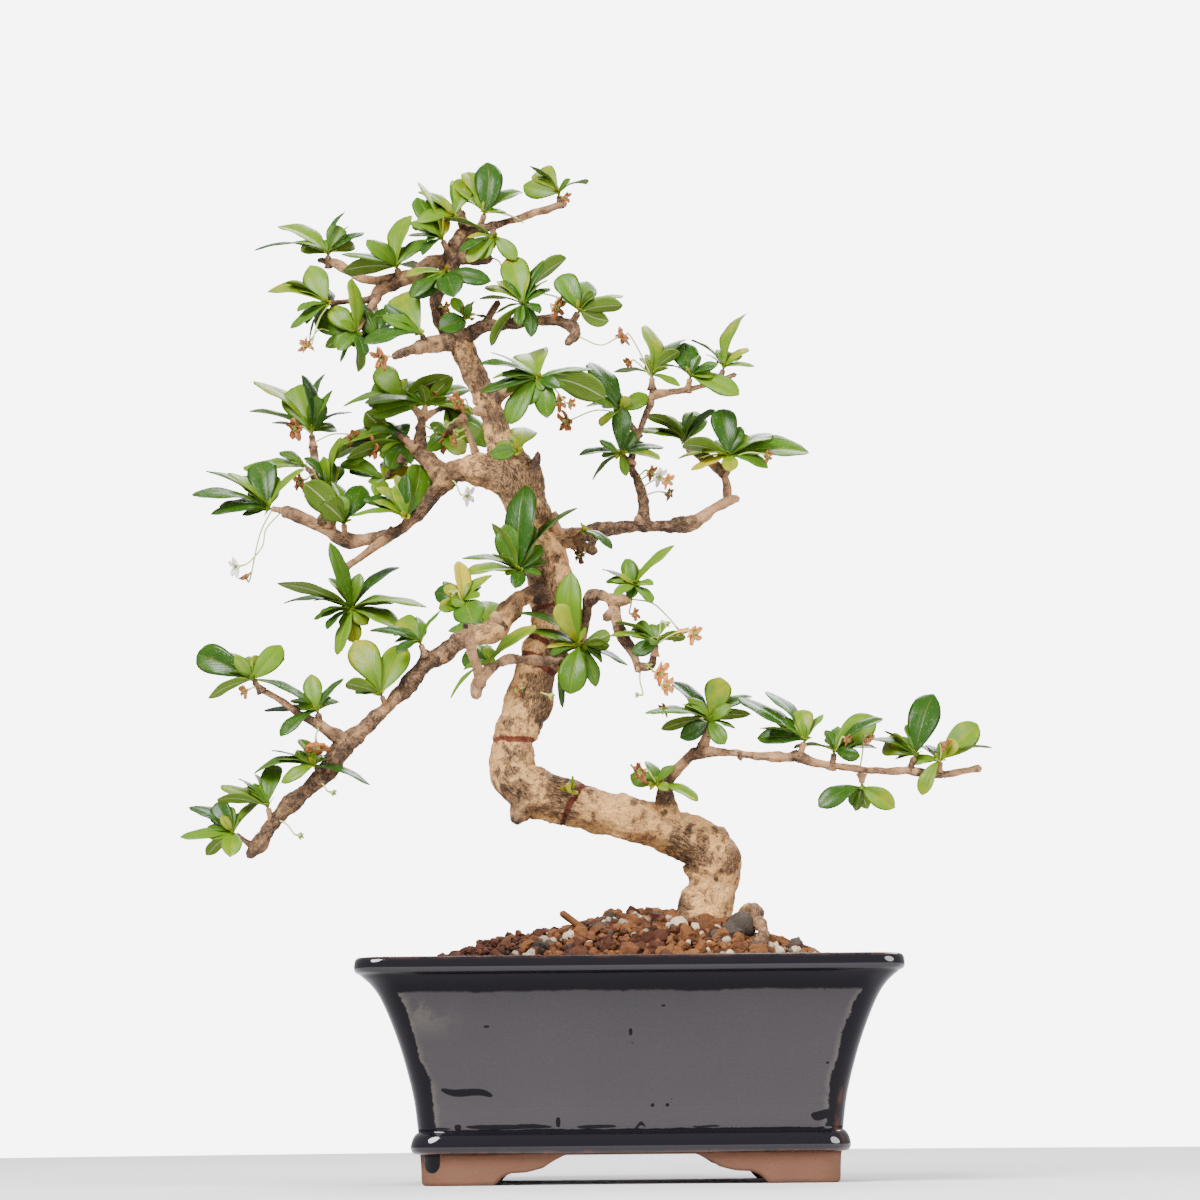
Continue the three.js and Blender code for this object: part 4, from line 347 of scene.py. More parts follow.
# Small blooms (across, up, size), with a letter for each one's kind: each has a stalk from the nearest wood.
BLOOM_KINDS = {"w": "withered", "h": "white", "p": "peach", "c": "calyx", "d": "dry"}
SMALL_BLOOM_KINDS = "wwwwwwwwwwccchhpwwwwwwwwwwwcpppddcwwwwwwwccwccwc"
SMALL_BLOOMS = (
    (-170, 378, 7), (-166, 418, 5), (-168, 351.5, 6), (-102.5, 395.5, 7.5), (-88.5, 391.5, 6),
    (-99.5, 371.5, 7.5), (-91.5, 371.5, 4), (-145.5, 374, 5), (-131, 368, 7), (-127, 413, 7), (-95, 380, 4),
    (-90, 376, 4), (-104, 377, 4), (-88.5, 344, 6), (7.5, 354, 6), (12, 352, 5), (4, 356, 5), (-43.5, 439, 7),
    (-7, 424, 5), (-4.5, 411, 4), (-42, 390.5, 5), (-36, 390, 4), (-35, 381.5, 6), (-67.5, 457.5, 5),
    (-98.5, 438, 4), (-38.5, 493, 4), (62.5, 364, 4), (-92.5, 295.5, 4), (7.5, 255.5, 7), (11, 249, 6),
    (25, 275.5, 6), (13, 345, 4), (-28.5, 314.5, 5), (12, 280.5, 4), (-4, 284.5, 4), (-196.5, 301.5, 4),
    (13.5, 237.5, 4), (2, 206.5, 6), (102.5, 222.5, 4), (113, 223, 4), (151.5, 220, 4), (-155, 195.5, 4),
    (-171.5, 174, 4), (-196.5, 246.5, 4), (0, 244, 3), (5, 259, 3), (-60, 247, 4), (-46, 244, 4),
)

SMALL_BLOOM_FULLNESS = 1.22

TRUNK_SIDES = 88
WIRE_HALF_WIDTH = 1.5
WIRE_DEPTH = 0.8
WIRE_REACH = 24

# Leaves, as the solids have them: least and most length, least width and depth as shares of it, and the
# length and width of the hidden ones.
LEAF_LEAST = 16
LEAF_MOST = 34
LEAF_SLENDER = 0.38
LEAF_DEPTH_SHARE = 0.35
HIDDEN_LENGTH = 23
HIDDEN_WIDTH = 9

# Leaves of the finished tree.
LEAF_FULLNESS = 1.16
BLADE_ROWS = 15
BLADE_SIDES = 9
BUD_RISE = 1.98
BUD_SCALES = 6
SCALE_RISE = 0.8
SCALE_THICKNESS = 0.35
FIRST_SPROUT = 60
SEEDS_PER_ROSETTE = 12
GOLDEN_SHARE = 0.618034
GOLDEN_TURN = 2.4

# Pot and soil in millimetres: all widths are half widths, and each depth is the width less POT_NARROWER.
POT_HEIGHT = 107
POT_NARROWER = 33
RIM_HALF = 129.5
BAND_HALF = 104.5
BODY_FOOT_HALF = 100
BODY_TOP_HALF = 123.5
RIM_BOTTOM = 99.4
BAND_BOTTOM = 14.7
BAND_TOP = 25
WALL = 6.5
FLOOR_TOP = 23
CORNER_RADIUS = 13
BODY_ROWS = (
    (101, 0, 25), (103, 0, 41), (107, 0, 58), (111.3, 0, 72), (116.8, 0, 86), (121.5, 0, 93.7),
    (127.6, 0, 99.4),
)
FOOT_WALL = 10
FOOT_HALF = 99.5
FOOT_LENGTH = 35
SIDE_FOOT_LENGTH = 30
SIDE_ARCH_NARROW = 0.6
ARCH_IN = (-1, 0, 2, 7, 15, 22, 27, 33)
ARCH_UP = (0, 0, 3.4, 5.6, 6, 7.8, 11, 14)
DRAIN_RADIUS = 8
DRAIN_SPACING = 96
SOIL_BOTTOM = 24.7
SOIL_EDGE = 97
SOIL_TOP = 129.5
SOIL_PEAK_X = 0
DOME_POWER = 1.8
SOIL_DIP = 5.0
SOIL_DIP_X = -34
SOIL_DIP_WIDE = 19
MOUTH_HALF = BODY_TOP_HALF - WALL
MOUTH_DEPTH_HALF = MOUTH_HALF - POT_NARROWER
FLOOR_BOTTOM = 15.3
RIM_EDGE = POT_HEIGHT - 0.7
BAND_EDGE = 15.3
LONG_PARTS = 90
SHORT_PARTS = 60
CORNER_PARTS = 10

# Sections of the pot: (inwards from the band's or the rim's half width, height), (outwards from the mouth's,
# height), and for the feet (outwards from FOOT_HALF, share of the height, corner radius).
BAND_ROWS = (
    (6, 14.7), (3, 14.7), (1.5, 15), (0.45, 16.1), (0, 17.6), (0.1, 18.9), (0.4, 20.2), (0.8, 21.6),
    (1.4, 22.9), (2.1, 24), (2.9, 24.7),
)
RIM_ROWS = (
    (1.25, RIM_BOTTOM + 0.1), (0.6, RIM_BOTTOM + 0.55), (0.15, RIM_BOTTOM + 1.4), (0, RIM_BOTTOM + 2.6),
    (0.05, RIM_BOTTOM + 4), (0.4, POT_HEIGHT - 1.6), (1, POT_HEIGHT - 0.75), (1.9, POT_HEIGHT - 0.2),
    (3, POT_HEIGHT),
)
LIP_ROWS = (
    (4, POT_HEIGHT - 0.05), (2.4, POT_HEIGHT - 0.35), (1.2, POT_HEIGHT - 1.3), (0.7, POT_HEIGHT - 2.8),
)
FOOT_ROWS = (
    (-1.2, 0, 12), (-0.3, 0.05, 13), (0, 0.14, 13), (0.2, 0.5, 13), (0.5, 0.84, 13), (1, 1, 13),
    (1 - FOOT_WALL, 1, 6), (-FOOT_WALL, 0.5, 5), (-FOOT_WALL, 0.1, 5), (0.8 - FOOT_WALL, 0, 5),
)

# Soil: heights and shares of the bed's rings, and for each layer of loose grains the spacing as a multiple of
# the setting, the least and most radius, and the lift. Then the pebble and the twig that lie in it.
BED_HEIGHTS = (SOIL_BOTTOM, 44, 64, 84, SOIL_EDGE - 2.5)
BED_SHARES = (0.97, *np.linspace(0.9, 0.1, 11), 0.04)
GRAIN_LAYERS = ((1, 1.3, 3.0, 0.2), (1.75, 1.8, 5.0, 1.3))
GRAIN_EDGE = 3.5
PEBBLE_SPOT = (55.0, -25.0)
PEBBLE_HALF = (7.6, 6.8, 6.6)
PEBBLE_LIFT = 5.0
BURIED_TWIG = ((-27, -29, 126, 3), (-31, -30, 129, 3.4), (-35, -30, 132, 3.6), (-40, -31, 135.5, 3.8))

# Dark strokes in the glaze's film: from x to x, height, rise, half thickness and sway.
FILM_STROKES = (
    (-89.5, -65, 45.2, -0.13, 1.8, 0.9), (-78, -37, 27.6, -0.01, 1.2, 0.2), (-35.4, -33.2, 29.4, 0, 2.4, 0),
    (-25.6, -6.7, 27.2, 0, 0.9, 0.2), (-1.4, 7, 26.6, 0, 1.1, 2.0), (29, 42, 26.8, 0, 0.6, 0.2),
    (-83.2, -80, 27.4, 0, 1.5, 0), (-95, -85, 26.8, 0, 0.6, 0), (85, 96.5, 31.6, 0.03, 2.3, 0.5),
    (-68.9, -66.2, 74.3, 0, 0.7, 0), (-0.6, 1.1, 71.3, 0, 1.7, 0), (14.7, 16.8, 83.3, 0, 0.6, 0),
    (9.4, 11.2, 37, 0, 0.9, 0), (16.4, 18.2, 37, 0, 0.9, 0), (92.3, 93.7, 56, 0, 0.6, 0),
)

# Lights: name, place and size in metres, and power in watts. All of them point at LIGHT_TARGET.
STUDIO_LIGHTS = (
    ("key", (-1.0, -1.4, 1.9), 1.4, 205),
    ("fill", (1.6, -1.2, 0.9), 1.4, 76),
    ("back", (0.4, 1.5, 1.7), 1.4, 60),
)
LIGHT_TARGET = Vector((0, 0, 0.26))
ROOM_LIGHT = 0.64
BACKDROP_LIGHT = 7.5


# Numbers and places

def random_from(seed):
    """A linear congruential generator: each call gives the next number from 0 to 1."""
    state = seed

    def draw():
        nonlocal state
        state = (state * 1664525 + 1013904223) % 2**32
        return state / 2**32

    return draw


def hashed(cells, seed):
    """A number from -1 to 1 for each whole lattice corner, from multiplied and folded integers."""
    key = (cells @ np.array([73856093, 19349663, 83492791]) + seed * 2654435) & 0x7FFFFFFF
    key = ((key ^ (key >> 13)) * 1274126177) & 0x7FFFFFFF
    return ((key ^ (key >> 16)) & 0xFFFF) / 32767.5 - 1


def noise(points, seed=0):
    """Value noise: the smooth mix of the hashed numbers at the eight lattice corners round each point."""
    cell = np.floor(points).astype(np.int64)
    share = points - cell
    share = share * share * (3 - 2 * share)
    total = np.zeros(points.shape[:-1])
    for corner in itertools.product((0, 1), repeat=3):
        weight = np.prod(np.where(corner, share, 1 - share), axis=-1)
        total += weight * hashed(cell + corner, seed)
    return total


def smooth_step(value, low, high):
    """0 below low and 1 above high, with 3t^2 - 2t^3 between them."""
    share = np.clip((value - low) / (high - low), 0, 1)
    return share * share * (3 - 2 * share)


def unit(vectors):
    return vectors / np.maximum(np.linalg.norm(vectors, axis=-1, keepdims=True), 1e-9)


def around(angle, first, second):
    """The directions at each angle from a first direction towards a second that is square to it."""
    return np.cos(angle)[:, None] * first + np.sin(angle)[:, None] * second


def place(spots):
    """Tree points in millimetres from rows of (across, depth, up): the point of the sight line through
    each spot of the front drawing that lies at its depth behind the trunk's plane."""
    spots = np.asarray(spots, float)
    across, depth, up = spots[..., 0], spots[..., 1], spots[..., 2]
    rise = up - SIGHT_HEIGHT
    forward = SIGHT_LENGTH * math.cos(SIGHT_PITCH) - rise * math.sin(SIGHT_PITCH)
    climb = SIGHT_LENGTH * math.sin(SIGHT_PITCH) + rise * math.cos(SIGHT_PITCH)
    reach = (EYE_AWAY + depth) / forward
    side = EYE_ACROSS + (across - EYE_ACROSS) * reach
    return np.stack([side, depth, EYE_HEIGHT + climb * reach], -1)


POT_LOW, POT_HIGH = (np.array(corner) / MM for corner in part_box("pot"))
POT_MIDDLE = (POT_LOW + POT_HIGH) / 2 * (1, 1, 0)
LEAN_COSINE, LEAN_SINE = math.cos(TREE_LEAN), math.sin(TREE_LEAN)
RIGHTED = np.array([[LEAN_COSINE, 0, -LEAN_SINE], [0, 1, 0], [LEAN_SINE, 0, LEAN_COSINE]])


def tree_to_frame(points):
    """Tree millimetres in the frame's millimetres: righted about the drawing's middle, then shifted."""
    return (points - DRAWING_MIDDLE) @ RIGHTED + DRAWING_MIDDLE + TREE_SHIFT + POT_MIDDLE


def curve(stations, step):
    """A smooth path through rows of numbers: the Catmull-Rom cubic of each span, then the same path at
    equal steps of its length. The first three numbers are a point, and the rest follow along."""
    rows = np.asarray(stations, float)
    rows = np.vstack([2 * rows[0] - rows[1], rows, 2 * rows[-1] - rows[-2]])
    parts = 12
    span = np.append(np.repeat(np.arange(len(rows) - 3), parts), len(rows) - 4)
    share = np.append(np.tile(np.arange(parts) / parts, len(rows) - 3), 1)[:, None]
    a, b, c, d = (rows[span + k] for k in range(4))
    fine = 0.5 * (2 * b + (c - a) * share + (2 * a - 5 * b + 4 * c - d) * share**2
                  + (3 * b - a - 3 * c + d) * share**3)
    length = np.append(0, np.cumsum(np.linalg.norm(np.diff(fine[:, :3], axis=0), axis=1)))
    even = np.linspace(0, length[-1], max(3, int(length[-1] / step) + 1))
    return np.stack([np.interp(even, length, column) for column in fine.T], -1), even


def frames(path):
    """Two directions square to a path at each of its points, carried along it without twisting."""
    along = unit(np.gradient(path, axis=0))
    across = np.empty_like(path)
    first = unit(np.cross((0, 1, 0.03), along[0]))
    for row, direction in enumerate(along):
        first = unit(first - direction * (first @ direction))
        across[row] = first
    return across, np.cross(along, across)


class Surface:
    """Shells of points gathered into one closed mesh, with numbers marked on its points."""

    def __init__(self):
        self.points = []
        self.faces = []
        self.marks = {}
        self.count = 0

    def join(self, points, faces, **marks):
        """Adds shells, an array (shells, points, 3), that all have the same lists of faces."""
        shells, size = points.shape[:2]
        start = self.count + size * np.arange(shells)[:, None, None]
        for polygons in faces:
            self.faces += (polygons + start).reshape(-1, polygons.shape[1]).tolist()
        self.points.append(points.reshape(-1, 3))
        for name, value in marks.items():
            self.marks.setdefault(name, []).append(value.reshape((-1,) + value.shape[2:]))
        self.count += size * shells

    def add(self, points, loop=False, ends=None, **marks):
        """Adds shells, an array (shells, rows, sides, 3): each row is a closed ring, and the rows end in
        poles, at the end rings' middles or at ends, or close on themselves where loop is true."""
        shells, rows, sides = points.shape[:3]
        ring = np.arange(rows * sides).reshape(rows, sides)
        after = np.roll(ring, -1, 1)
        low, high = (ring, np.roll(ring, -1, 0)) if loop else (ring[:-1], ring[1:])
        low_after, high_after = (after, np.roll(after, -1, 0)) if loop else (after[:-1], after[1:])
        faces = [np.stack([low, low_after, high_after, high], -1).reshape(-1, 4)]
        if not loop:
            poles = [np.full(sides, rows * sides), np.full(sides, rows * sides + 1)]
            faces.append(np.vstack([np.stack([poles[0], after[0], ring[0]], -1),
                                    np.stack([poles[1], ring[-1], after[-1]], -1)]))

        def closed(value, tips=None):
            """The rings' points in a row and, unless the shell is a loop, the two poles after them."""
            column = value.reshape((shells, rows * sides) + value.shape[3:])
            tips = tips or (value[:, 0].mean(1), value[:, -1].mean(1))
            return column if loop else np.concatenate([column, np.stack(tips, 1)], 1)

        for name, value in marks.items():
            marks[name] = closed(np.broadcast_to(value, (shells, rows, sides) + np.shape(value)[3:]))
        self.join(closed(points, ends), faces, **marks)

    def piece(self, name, finish, slot, *nodes, smooth=True, turned=True):
        """Makes the object: points in frame metres, faces outwards, marks as point attributes."""
        points = np.vstack(self.points)
        points = (tree_to_frame(points) if turned else points + POT_MIDDLE) * MM
        mesh = bpy.data.meshes.new(name)
        mesh.from_pydata(points, [], self.faces)
        shape = bmesh.new()
        shape.from_mesh(mesh)
        bmesh.ops.recalc_face_normals(shape, faces=shape.faces)
        shape.to_mesh(mesh)
        shape.free()
        for mark, columns in self.marks.items():
            column = np.concatenate(columns)
            kind, field = ("FLOAT", "value") if column.ndim == 1 else ("FLOAT_VECTOR", "vector")
            attribute = mesh.attributes.new(mark, kind, "POINT")
            attribute.data.foreach_set(field, column.astype(np.float32).ravel())
        mesh.polygons.foreach_set("use_smooth", [smooth] * len(mesh.polygons))
        mesh.materials.append(finish)
        made = bpy.data.objects.new(name, mesh)
        bpy.context.scene.collection.objects.link(made)
        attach(made, "root")
        if nodes:
            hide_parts(*nodes)


# Shader nodes

class Value:
    """A node's socket that Python's arithmetic extends with Math nodes."""

    def __init__(self, paint, socket):
        self.paint = paint
        self.socket = socket

    def math(self, operation, *values):
        return self.paint.node("Math", {"operation": operation}, dict(enumerate(values)))

    def __add__(self, other):
        return self.math("ADD", self, other)

    def __sub__(self, other):
        return self.math("SUBTRACT", self, other)

    def __rsub__(self, other):
        return self.math("SUBTRACT", other, self)

    def __mul__(self, other):
        return self.math("MULTIPLY", self, other)

    def __truediv__(self, other):
        return self.math("DIVIDE", self, other)

    __radd__ = __add__
    __rmul__ = __mul__

    def __pow__(self, other):
        return self.math("POWER", self, other)

    def __abs__(self):
        return self.math("ABSOLUTE", self)

    def least(self, other):
        return self.math("MINIMUM", self, other)

    def most(self, other):
        return self.math("MAXIMUM", self, other)

    def sine(self):
        return self.math("SINE", self)

    def step(self, low, high):
        """0 below low and 1 above high, smooth between them."""
        return self.paint.node("MapRange", {"interpolation_type": "SMOOTHSTEP"}, {0: self, 1: low, 2: high})

    def fall(self, low, high):
        """1 below low and 0 above high, smooth between them."""
        return 1 - self.step(low, high)

    def bulge(self):
        """The height of a unit circle over this distance from its middle, and 0 outside it."""
        return (1 - self * self).most(0.0) ** 0.5


class Paint:
    """The nodes of one procedural material, or of the world: every node comes from node()."""

    def __init__(self, name, owners="materials"):
        self.owner = getattr(bpy.data, owners).new(name)
        self.owner.use_nodes = True
        self.tree = self.owner.node_tree
        self.tree.nodes.clear()

    def node(self, kind, settings=(), inputs=(), out=0):
        """Adds a shader node: its settings first, then the numbers, colours or links of its sockets."""
        made = self.tree.nodes.new("ShaderNode" + kind)
        settings = dict(settings)
        stops = settings.pop("stops", None)
        for name, value in settings.items():
            setattr(made, name, value)
        if stops:
            elements = made.color_ramp.elements
            elements[0].position, elements[-1].position = stops[0][0], stops[-1][0]
            for position, _ in stops[1:-1]:
                elements.new(position)
            for element, (_, tint) in zip(elements, stops):
                element.color = (*tint, 1)
        for key, value in dict(inputs).items():
            socket = made.inputs[key]
            if isinstance(value, Value):
                self.tree.links.new(value.socket, socket)
            elif socket.type == "RGBA":
                socket.default_value = (*value, 1)
            else:
                socket.default_value = value
        return Value(self, made.outputs[out] if made.outputs else None)

    def spot(self):
        """The place on the object, in metres."""
        return self.node("TexCoord", out=3)

    def mark(self, name, out="Fac"):
        return self.node("Attribute", {"attribute_name": name}, out=out)

    def stretched(self, vector, scale):
        return self.node("Mapping", {}, {"Vector": vector, "Scale": scale})

    def millimetres(self, spot):
        """The three numbers of a place, in millimetres."""
        scaled = self.node("VectorMath", {"operation": "SCALE"}, {0: spot, "Scale": 1 / MM})
        outputs = self.node("SeparateXYZ", {}, {0: scaled}).socket.node.outputs
        return [Value(self, outputs[k]) for k in range(3)]

    def noise(self, vector, scale, detail=3.0, rough=0.5):
        inputs = {"Vector": vector, "Scale": scale, "Detail": detail, "Roughness": rough}
        return self.node("TexNoise", {}, inputs)

    def cells(self, vector, scale, feature="F1"):
        return self.node("TexVoronoi", {"feature": feature}, {"Vector": vector, "Scale": scale})

    def mix(self, share, first, second):
        return self.node("Mix", {"data_type": "RGBA"}, {0: share, 6: first, 7: second}, 2)

    def coats(self, base, *coats):
        """Colours laid over a base one after another, each as dense as its share."""
        for share, colour in coats:
            base = self.mix(share, base, colour)
        return base

    def ramp(self, share, *stops):
        return self.node("ValToRGB", {"stops": stops}, {0: share})

    def bump(self, height, distance, strength=1.0):
        return self.node("Bump", {}, {"Height": height, "Distance": distance, "Strength": strength})

    def finish(self, **sockets):
        """Closes the material with its shader and output."""
        inputs = {name.replace("_", " "): value for name, value in sockets.items()}
        self.node("OutputMaterial", {}, {"Surface": self.node("BsdfPrincipled", {}, inputs)})
        return self.owner


def tint(red, green, blue):
    """A colour of the shader from the numbers 0 to 255 of a paint chart."""
    return tuple(round(((c / 255 + 0.055) / 1.055) ** 2.4 if c > 10 else c / 255 / 12.92, 4)
                 for c in (red, green, blue))


def times(factor, colour):
    """A colour made darker or lighter by a factor."""
    return tuple(factor * c for c in colour)


# Settings

def length(name, description, default):
    return FloatProperty(name=name, description=description, default=default * MM, min=0, unit="LENGTH")


def colour(name, description, red, green, blue):
    return FloatVectorProperty(name=name, description=description, default=tint(red, green, blue),
                               min=0, max=1, size=3, subtype="COLOR")


class BonsaiWood(bpy.types.PropertyGroup):
    """Sizes and colours of the bark."""

    pale: colour("Pale bark", "Bark on the smooth sides of the trunk", 255, 200, 124)
    # Tan is the bark's own tone in broad patches, and also painted shade in the fissures.
    tan: colour("Tan bark", "Bark in the fissures", 196, 132, 80)
    flank: colour("Worn bark", "Grey bark between the flakes of the rough places", 136, 104, 76)
    rough: colour("Rough bark", "Cracks, and the edges of the flakes in the rough places", 62, 45, 33)
    twig: colour("Twig bark", "Bark on the young wood", 172, 140, 108)
    wire: colour("Wire mark", "Bark where a training wire has bitten", 96, 30, 12)
    lumps: length("Lumps", "Height of the swellings on the trunk", 1.35)
    ridges: length("Ridges", "Height of the bark's ridges", 0.5)


class BonsaiFoliage(bpy.types.PropertyGroup):
    """Colours and thickness of the leaves."""

    old: colour("Old leaf", "Leaf that has ripened", 28, 60, 4)
    ripe: colour("Ripe leaf", "Leaf in its first summer", 54, 88, 4)
    young: colour("Young leaf", "Leaf that has just opened", 76, 106, 1)
    fading: colour("Fading leaf", "Leaf about to fall", 150, 136, 16)
    under: colour("Under side", "Under side of a leaf", 76, 100, 18)
    thickness: length("Leaf thickness", "Thickness in the middle of a blade", 0.5)


class BonsaiFlowers(bpy.types.PropertyGroup):
    """Colours of the flowers and of what is left of them."""

    white: colour("White bloom", "Fresh petal", 238, 234, 220)
    peach: colour("Peach bloom", "Petal that is going over", 214, 134, 62)
    withered: colour("Withered bloom", "Dried petal", 146, 84, 30)
    calyx: colour("Calyx", "Sepals and young stalks", 172, 186, 92)


class BonsaiSoil(bpy.types.PropertyGroup):
    """Sizes and colours of the grains."""

    clay: colour("Clay grain", "Baked clay grain, dry", 98, 60, 30)
    damp: colour("Damp clay", "Baked clay grain, damp", 55, 27, 14)
    pumice: colour("Pumice grain", "Pale volcanic grain", 172, 154, 130)
    lava: colour("Lava grain", "Dark volcanic grain", 58, 50, 43)
    spacing: length("Grain spacing", "Distance between neighbouring grains", 4.1)
    seed: IntProperty(name="Seed", description="Start of the grains' chance numbers", default=5)


class BonsaiPot(bpy.types.PropertyGroup):
    """Colours of the glaze and of the bare clay."""

    glaze: colour("Glaze", "Glaze where it lies thick", 11, 9, 14)
    # The grey film is partly the film itself and partly a painted reflection of the room on the flat sides.
    film: colour("Grey film", "Grey film on the flat sides", 54, 51, 53)
    # The tide colour is also painted along the rim's lower edge as a reflection.
    tide: colour("Tide line", "Paler edge of the film", 76, 72, 66)
    breaking: colour("Breaking glaze", "Glaze where it is thin over an edge", 72, 40, 28)
    clay: colour("Bare clay", "Clay of the unglazed feet", 98, 68, 52)


class BonsaiStage(bpy.types.PropertyGroup):
    """Camera, floor and lights."""

    lens: FloatProperty(name="Lens", description="Focal length of the camera", default=109.0, unit="CAMERA")
    floor_radius: length("Floor radius", "Radius of the round floor", 1300)
    floor: colour("Floor", "Colour of the floor", 206, 203, 207)
    sky: colour("Surroundings", "Colour of the studio", 247, 245, 250)
    light: FloatProperty(name="Light", description="Strength of the lights together", default=1.0)


SETTINGS = {
    "bonsai_wood": BonsaiWood, "bonsai_foliage": BonsaiFoliage, "bonsai_flowers": BonsaiFlowers,
    "bonsai_soil": BonsaiSoil, "bonsai_pot": BonsaiPot, "bonsai_stage": BonsaiStage,
}


# Wood

def bark_finish(name, wood, least=0.15, most=0.42):
    """Streaks and flecks from noise stretched along the grain, flaking rough places whose edges are
    broken up by noise of three sizes, knots, and the marks of training wires. The tan laid where the
    streaks, wrinkles and grit sink lowest in the bump is painted shade in the fissures."""
    paint = Paint(name)
    grain = paint.mark("grain", "Vector")
    broad = paint.noise(grain, 0.11, 4.0, 0.6)
    patch = paint.noise(grain, 0.34, 4.0, 0.62)
    streak = paint.noise(paint.stretched(grain, (1.5, 1.5, 0.3)), 1.0, 6.0, 0.66)
    fleck = paint.noise(paint.stretched(grain, (1.9, 1.9, 0.95)), 1.0, 5.0, 0.64)
    wrinkle = paint.noise(paint.stretched(grain, (0.35, 0.35, 1.6)), 1.0, 4.0, 0.6)
    grit = paint.noise(grain, 1.1, 4.0, 0.7)
    age, scar, crust = paint.mark("age"), paint.mark("scar"), paint.mark("flaky")
    limb = age.step(0.04, 0.35) * age.fall(0.75, 1.0)
    worn = paint.mark("rough") * 0.8 + (broad - 0.5) * 1.5 + (patch - 0.5) * 1.9 + (fleck - 0.5) * 1.3
    worn = worn + limb * 0.34
    rough = worn.step(least, most)
    knot = (paint.mark("knot") + (patch - 0.5) * 1.4 + (fleck - 0.5) * 1.6).step(0.3, 0.62)
    slab = paint.stretched(grain, (0.8, 0.8, 0.42))
    bent = paint.node("VectorMath", {"operation": "ADD"}, {0: slab, 1: patch * 2.6})
    flake = paint.cells(bent, 1.0, "DISTANCE_TO_EDGE").fall(0.0, 0.13)
    flake = (flake * 0.75 + streak.fall(0.4, 0.5)).least(1.0)
    base = paint.coats(
        wood.pale,
        # Tan in broad patches is the bark's own tone; tan where the streaks, wrinkles and grit sink lowest in
        # the bump is painted shade in the fissures.
        (broad.step(0.38, 0.66) * 0.45, wood.tan),
        (age.fall(0.0, 0.9) * 0.8, wood.twig),
        (streak.fall(0.4, 0.53) * 0.62, wood.tan),
        (wrinkle.fall(0.34, 0.47) * 0.5, wood.tan),
        (grit.fall(0.38, 0.5) * 0.6, wood.tan),
        (fleck.fall(0.32, 0.39) * 0.8, wood.rough),
        (streak.fall(0.3, 0.36) * 0.7, wood.rough),
        (worn.step(least - 0.3, most - 0.12) * 0.7, wood.flank),
        (rough * flake * 0.95, wood.rough),
        (rough * fleck.step(0.58, 0.68) * 0.4, wood.pale),
        (knot * 0.7, wood.rough),
        (crust * 0.6, wood.flank),
        (crust * (patch * 0.5 + fleck * 0.6).step(0.44, 0.62) * 0.85, wood.rough),
        ((scar + (fleck - 0.5) * 0.9).step(0.12, 0.5) * 0.92, wood.wire),
    )
    height = streak * 0.9 + fleck * 0.7 + crust * fleck * 1.2 + wrinkle * 0.8 + grit * 0.9
    height = height - rough * flake * 1.1 - scar * 0.8 + patch * rough * 0.8
    return paint.finish(Base_Color=base, Roughness=fleck * 0.2 + 0.72, Normal=paint.bump(height, 0.0017),
                        Specular_IOR_Level=0.3)


def nearness(points, places):
    """How near each point is to the places of a list: exp(-(distance / size)^2), the greatest of them."""
    mark = np.zeros(points.shape[:-1])
    for across, up, size in places:
        centre = place((across, 0, up))
        away = np.hypot(points[..., 0] - centre[0], points[..., 2] - centre[2]) / size
        mark = np.maximum(mark, np.exp(-away**2))
    return mark


def wood_path(rows):
    """Tree points with their thickness from rows of (across, depth, up, thickness)."""
    rows = np.asarray(rows, float)
    return np.column_stack([place(rows[:, :3]), rows[:, 3]])


def carried_tube(surface, stations, sides, step, lumps, ridges, flare, seed):
    """A ring carried along a smooth path. Its radius is the path's own, widened at the root by
    1 + flare (1 - s)^2, swollen by slow noise, furrowed by noise stretched along the path, and crusted
    with finer noise on stretches of the thin wood."""
    points, arc = curve(stations, step)
    path, radius = points[:, :3], points[:, 3] / 2
    across, up = frames(path)
    angle = 2 * np.pi * np.arange(sides) / sides
    root = np.linalg.norm(np.asarray(stations[1][:3], float) - np.asarray(stations[0][:3], float)) * 1.3
    radius = radius * (1 + flare * np.clip(1 - arc / root, 0, 1) ** 2)
    grain = around(angle, (1, 0, 0), (0, 1, 0)) * radius[:, None, None] + arc[:, None, None] * (0, 0, 1)
    grain = grain + seed * 7.3
    slim = np.minimum(1, radius / 5)[:, None]
    swell = lumps * slim * (noise(grain / 9, seed) + 0.55 * noise(grain / 3.6, seed + 1)
                            + 0.26 * noise(grain / 1.7, seed + 3))
    furrow = ridges * slim * noise(grain * (0.9, 0.9, 0.2), seed + 2)
    stretches = smooth_step(noise(arc[:, None] * (1, 0, 0) / 9, seed + 4), -0.25, 0.25)
    flaky = (stretches * (1 - smooth_step(radius, 5.0, 7.5)))[:, None]
    crust = 0.42 * flaky * np.minimum(1, radius / 3)[:, None] * noise(grain * (0.75, 0.75, 0.55), seed + 5)
    tip = np.sqrt(np.clip((arc[-1] - arc) / (0.7 * radius[-1] + 0.01), 0.03, 1))
    reach = (radius[:, None] + swell + furrow + crust) * tip[:, None]
    shell = path[:, None] + around(angle, across[:, None], up[:, None]) * reach[..., None]
    surface.add(
        shell[None], ends=(path[None, 0], path[None, -1]), grain=grain[None],
        age=smooth_step(radius, 2.0, 7.0)[:, None], flaky=flaky, rough=nearness(shell, ROUGH_PLACES),
        knot=nearness(shell, KNOTS), scar=0.0,
    )


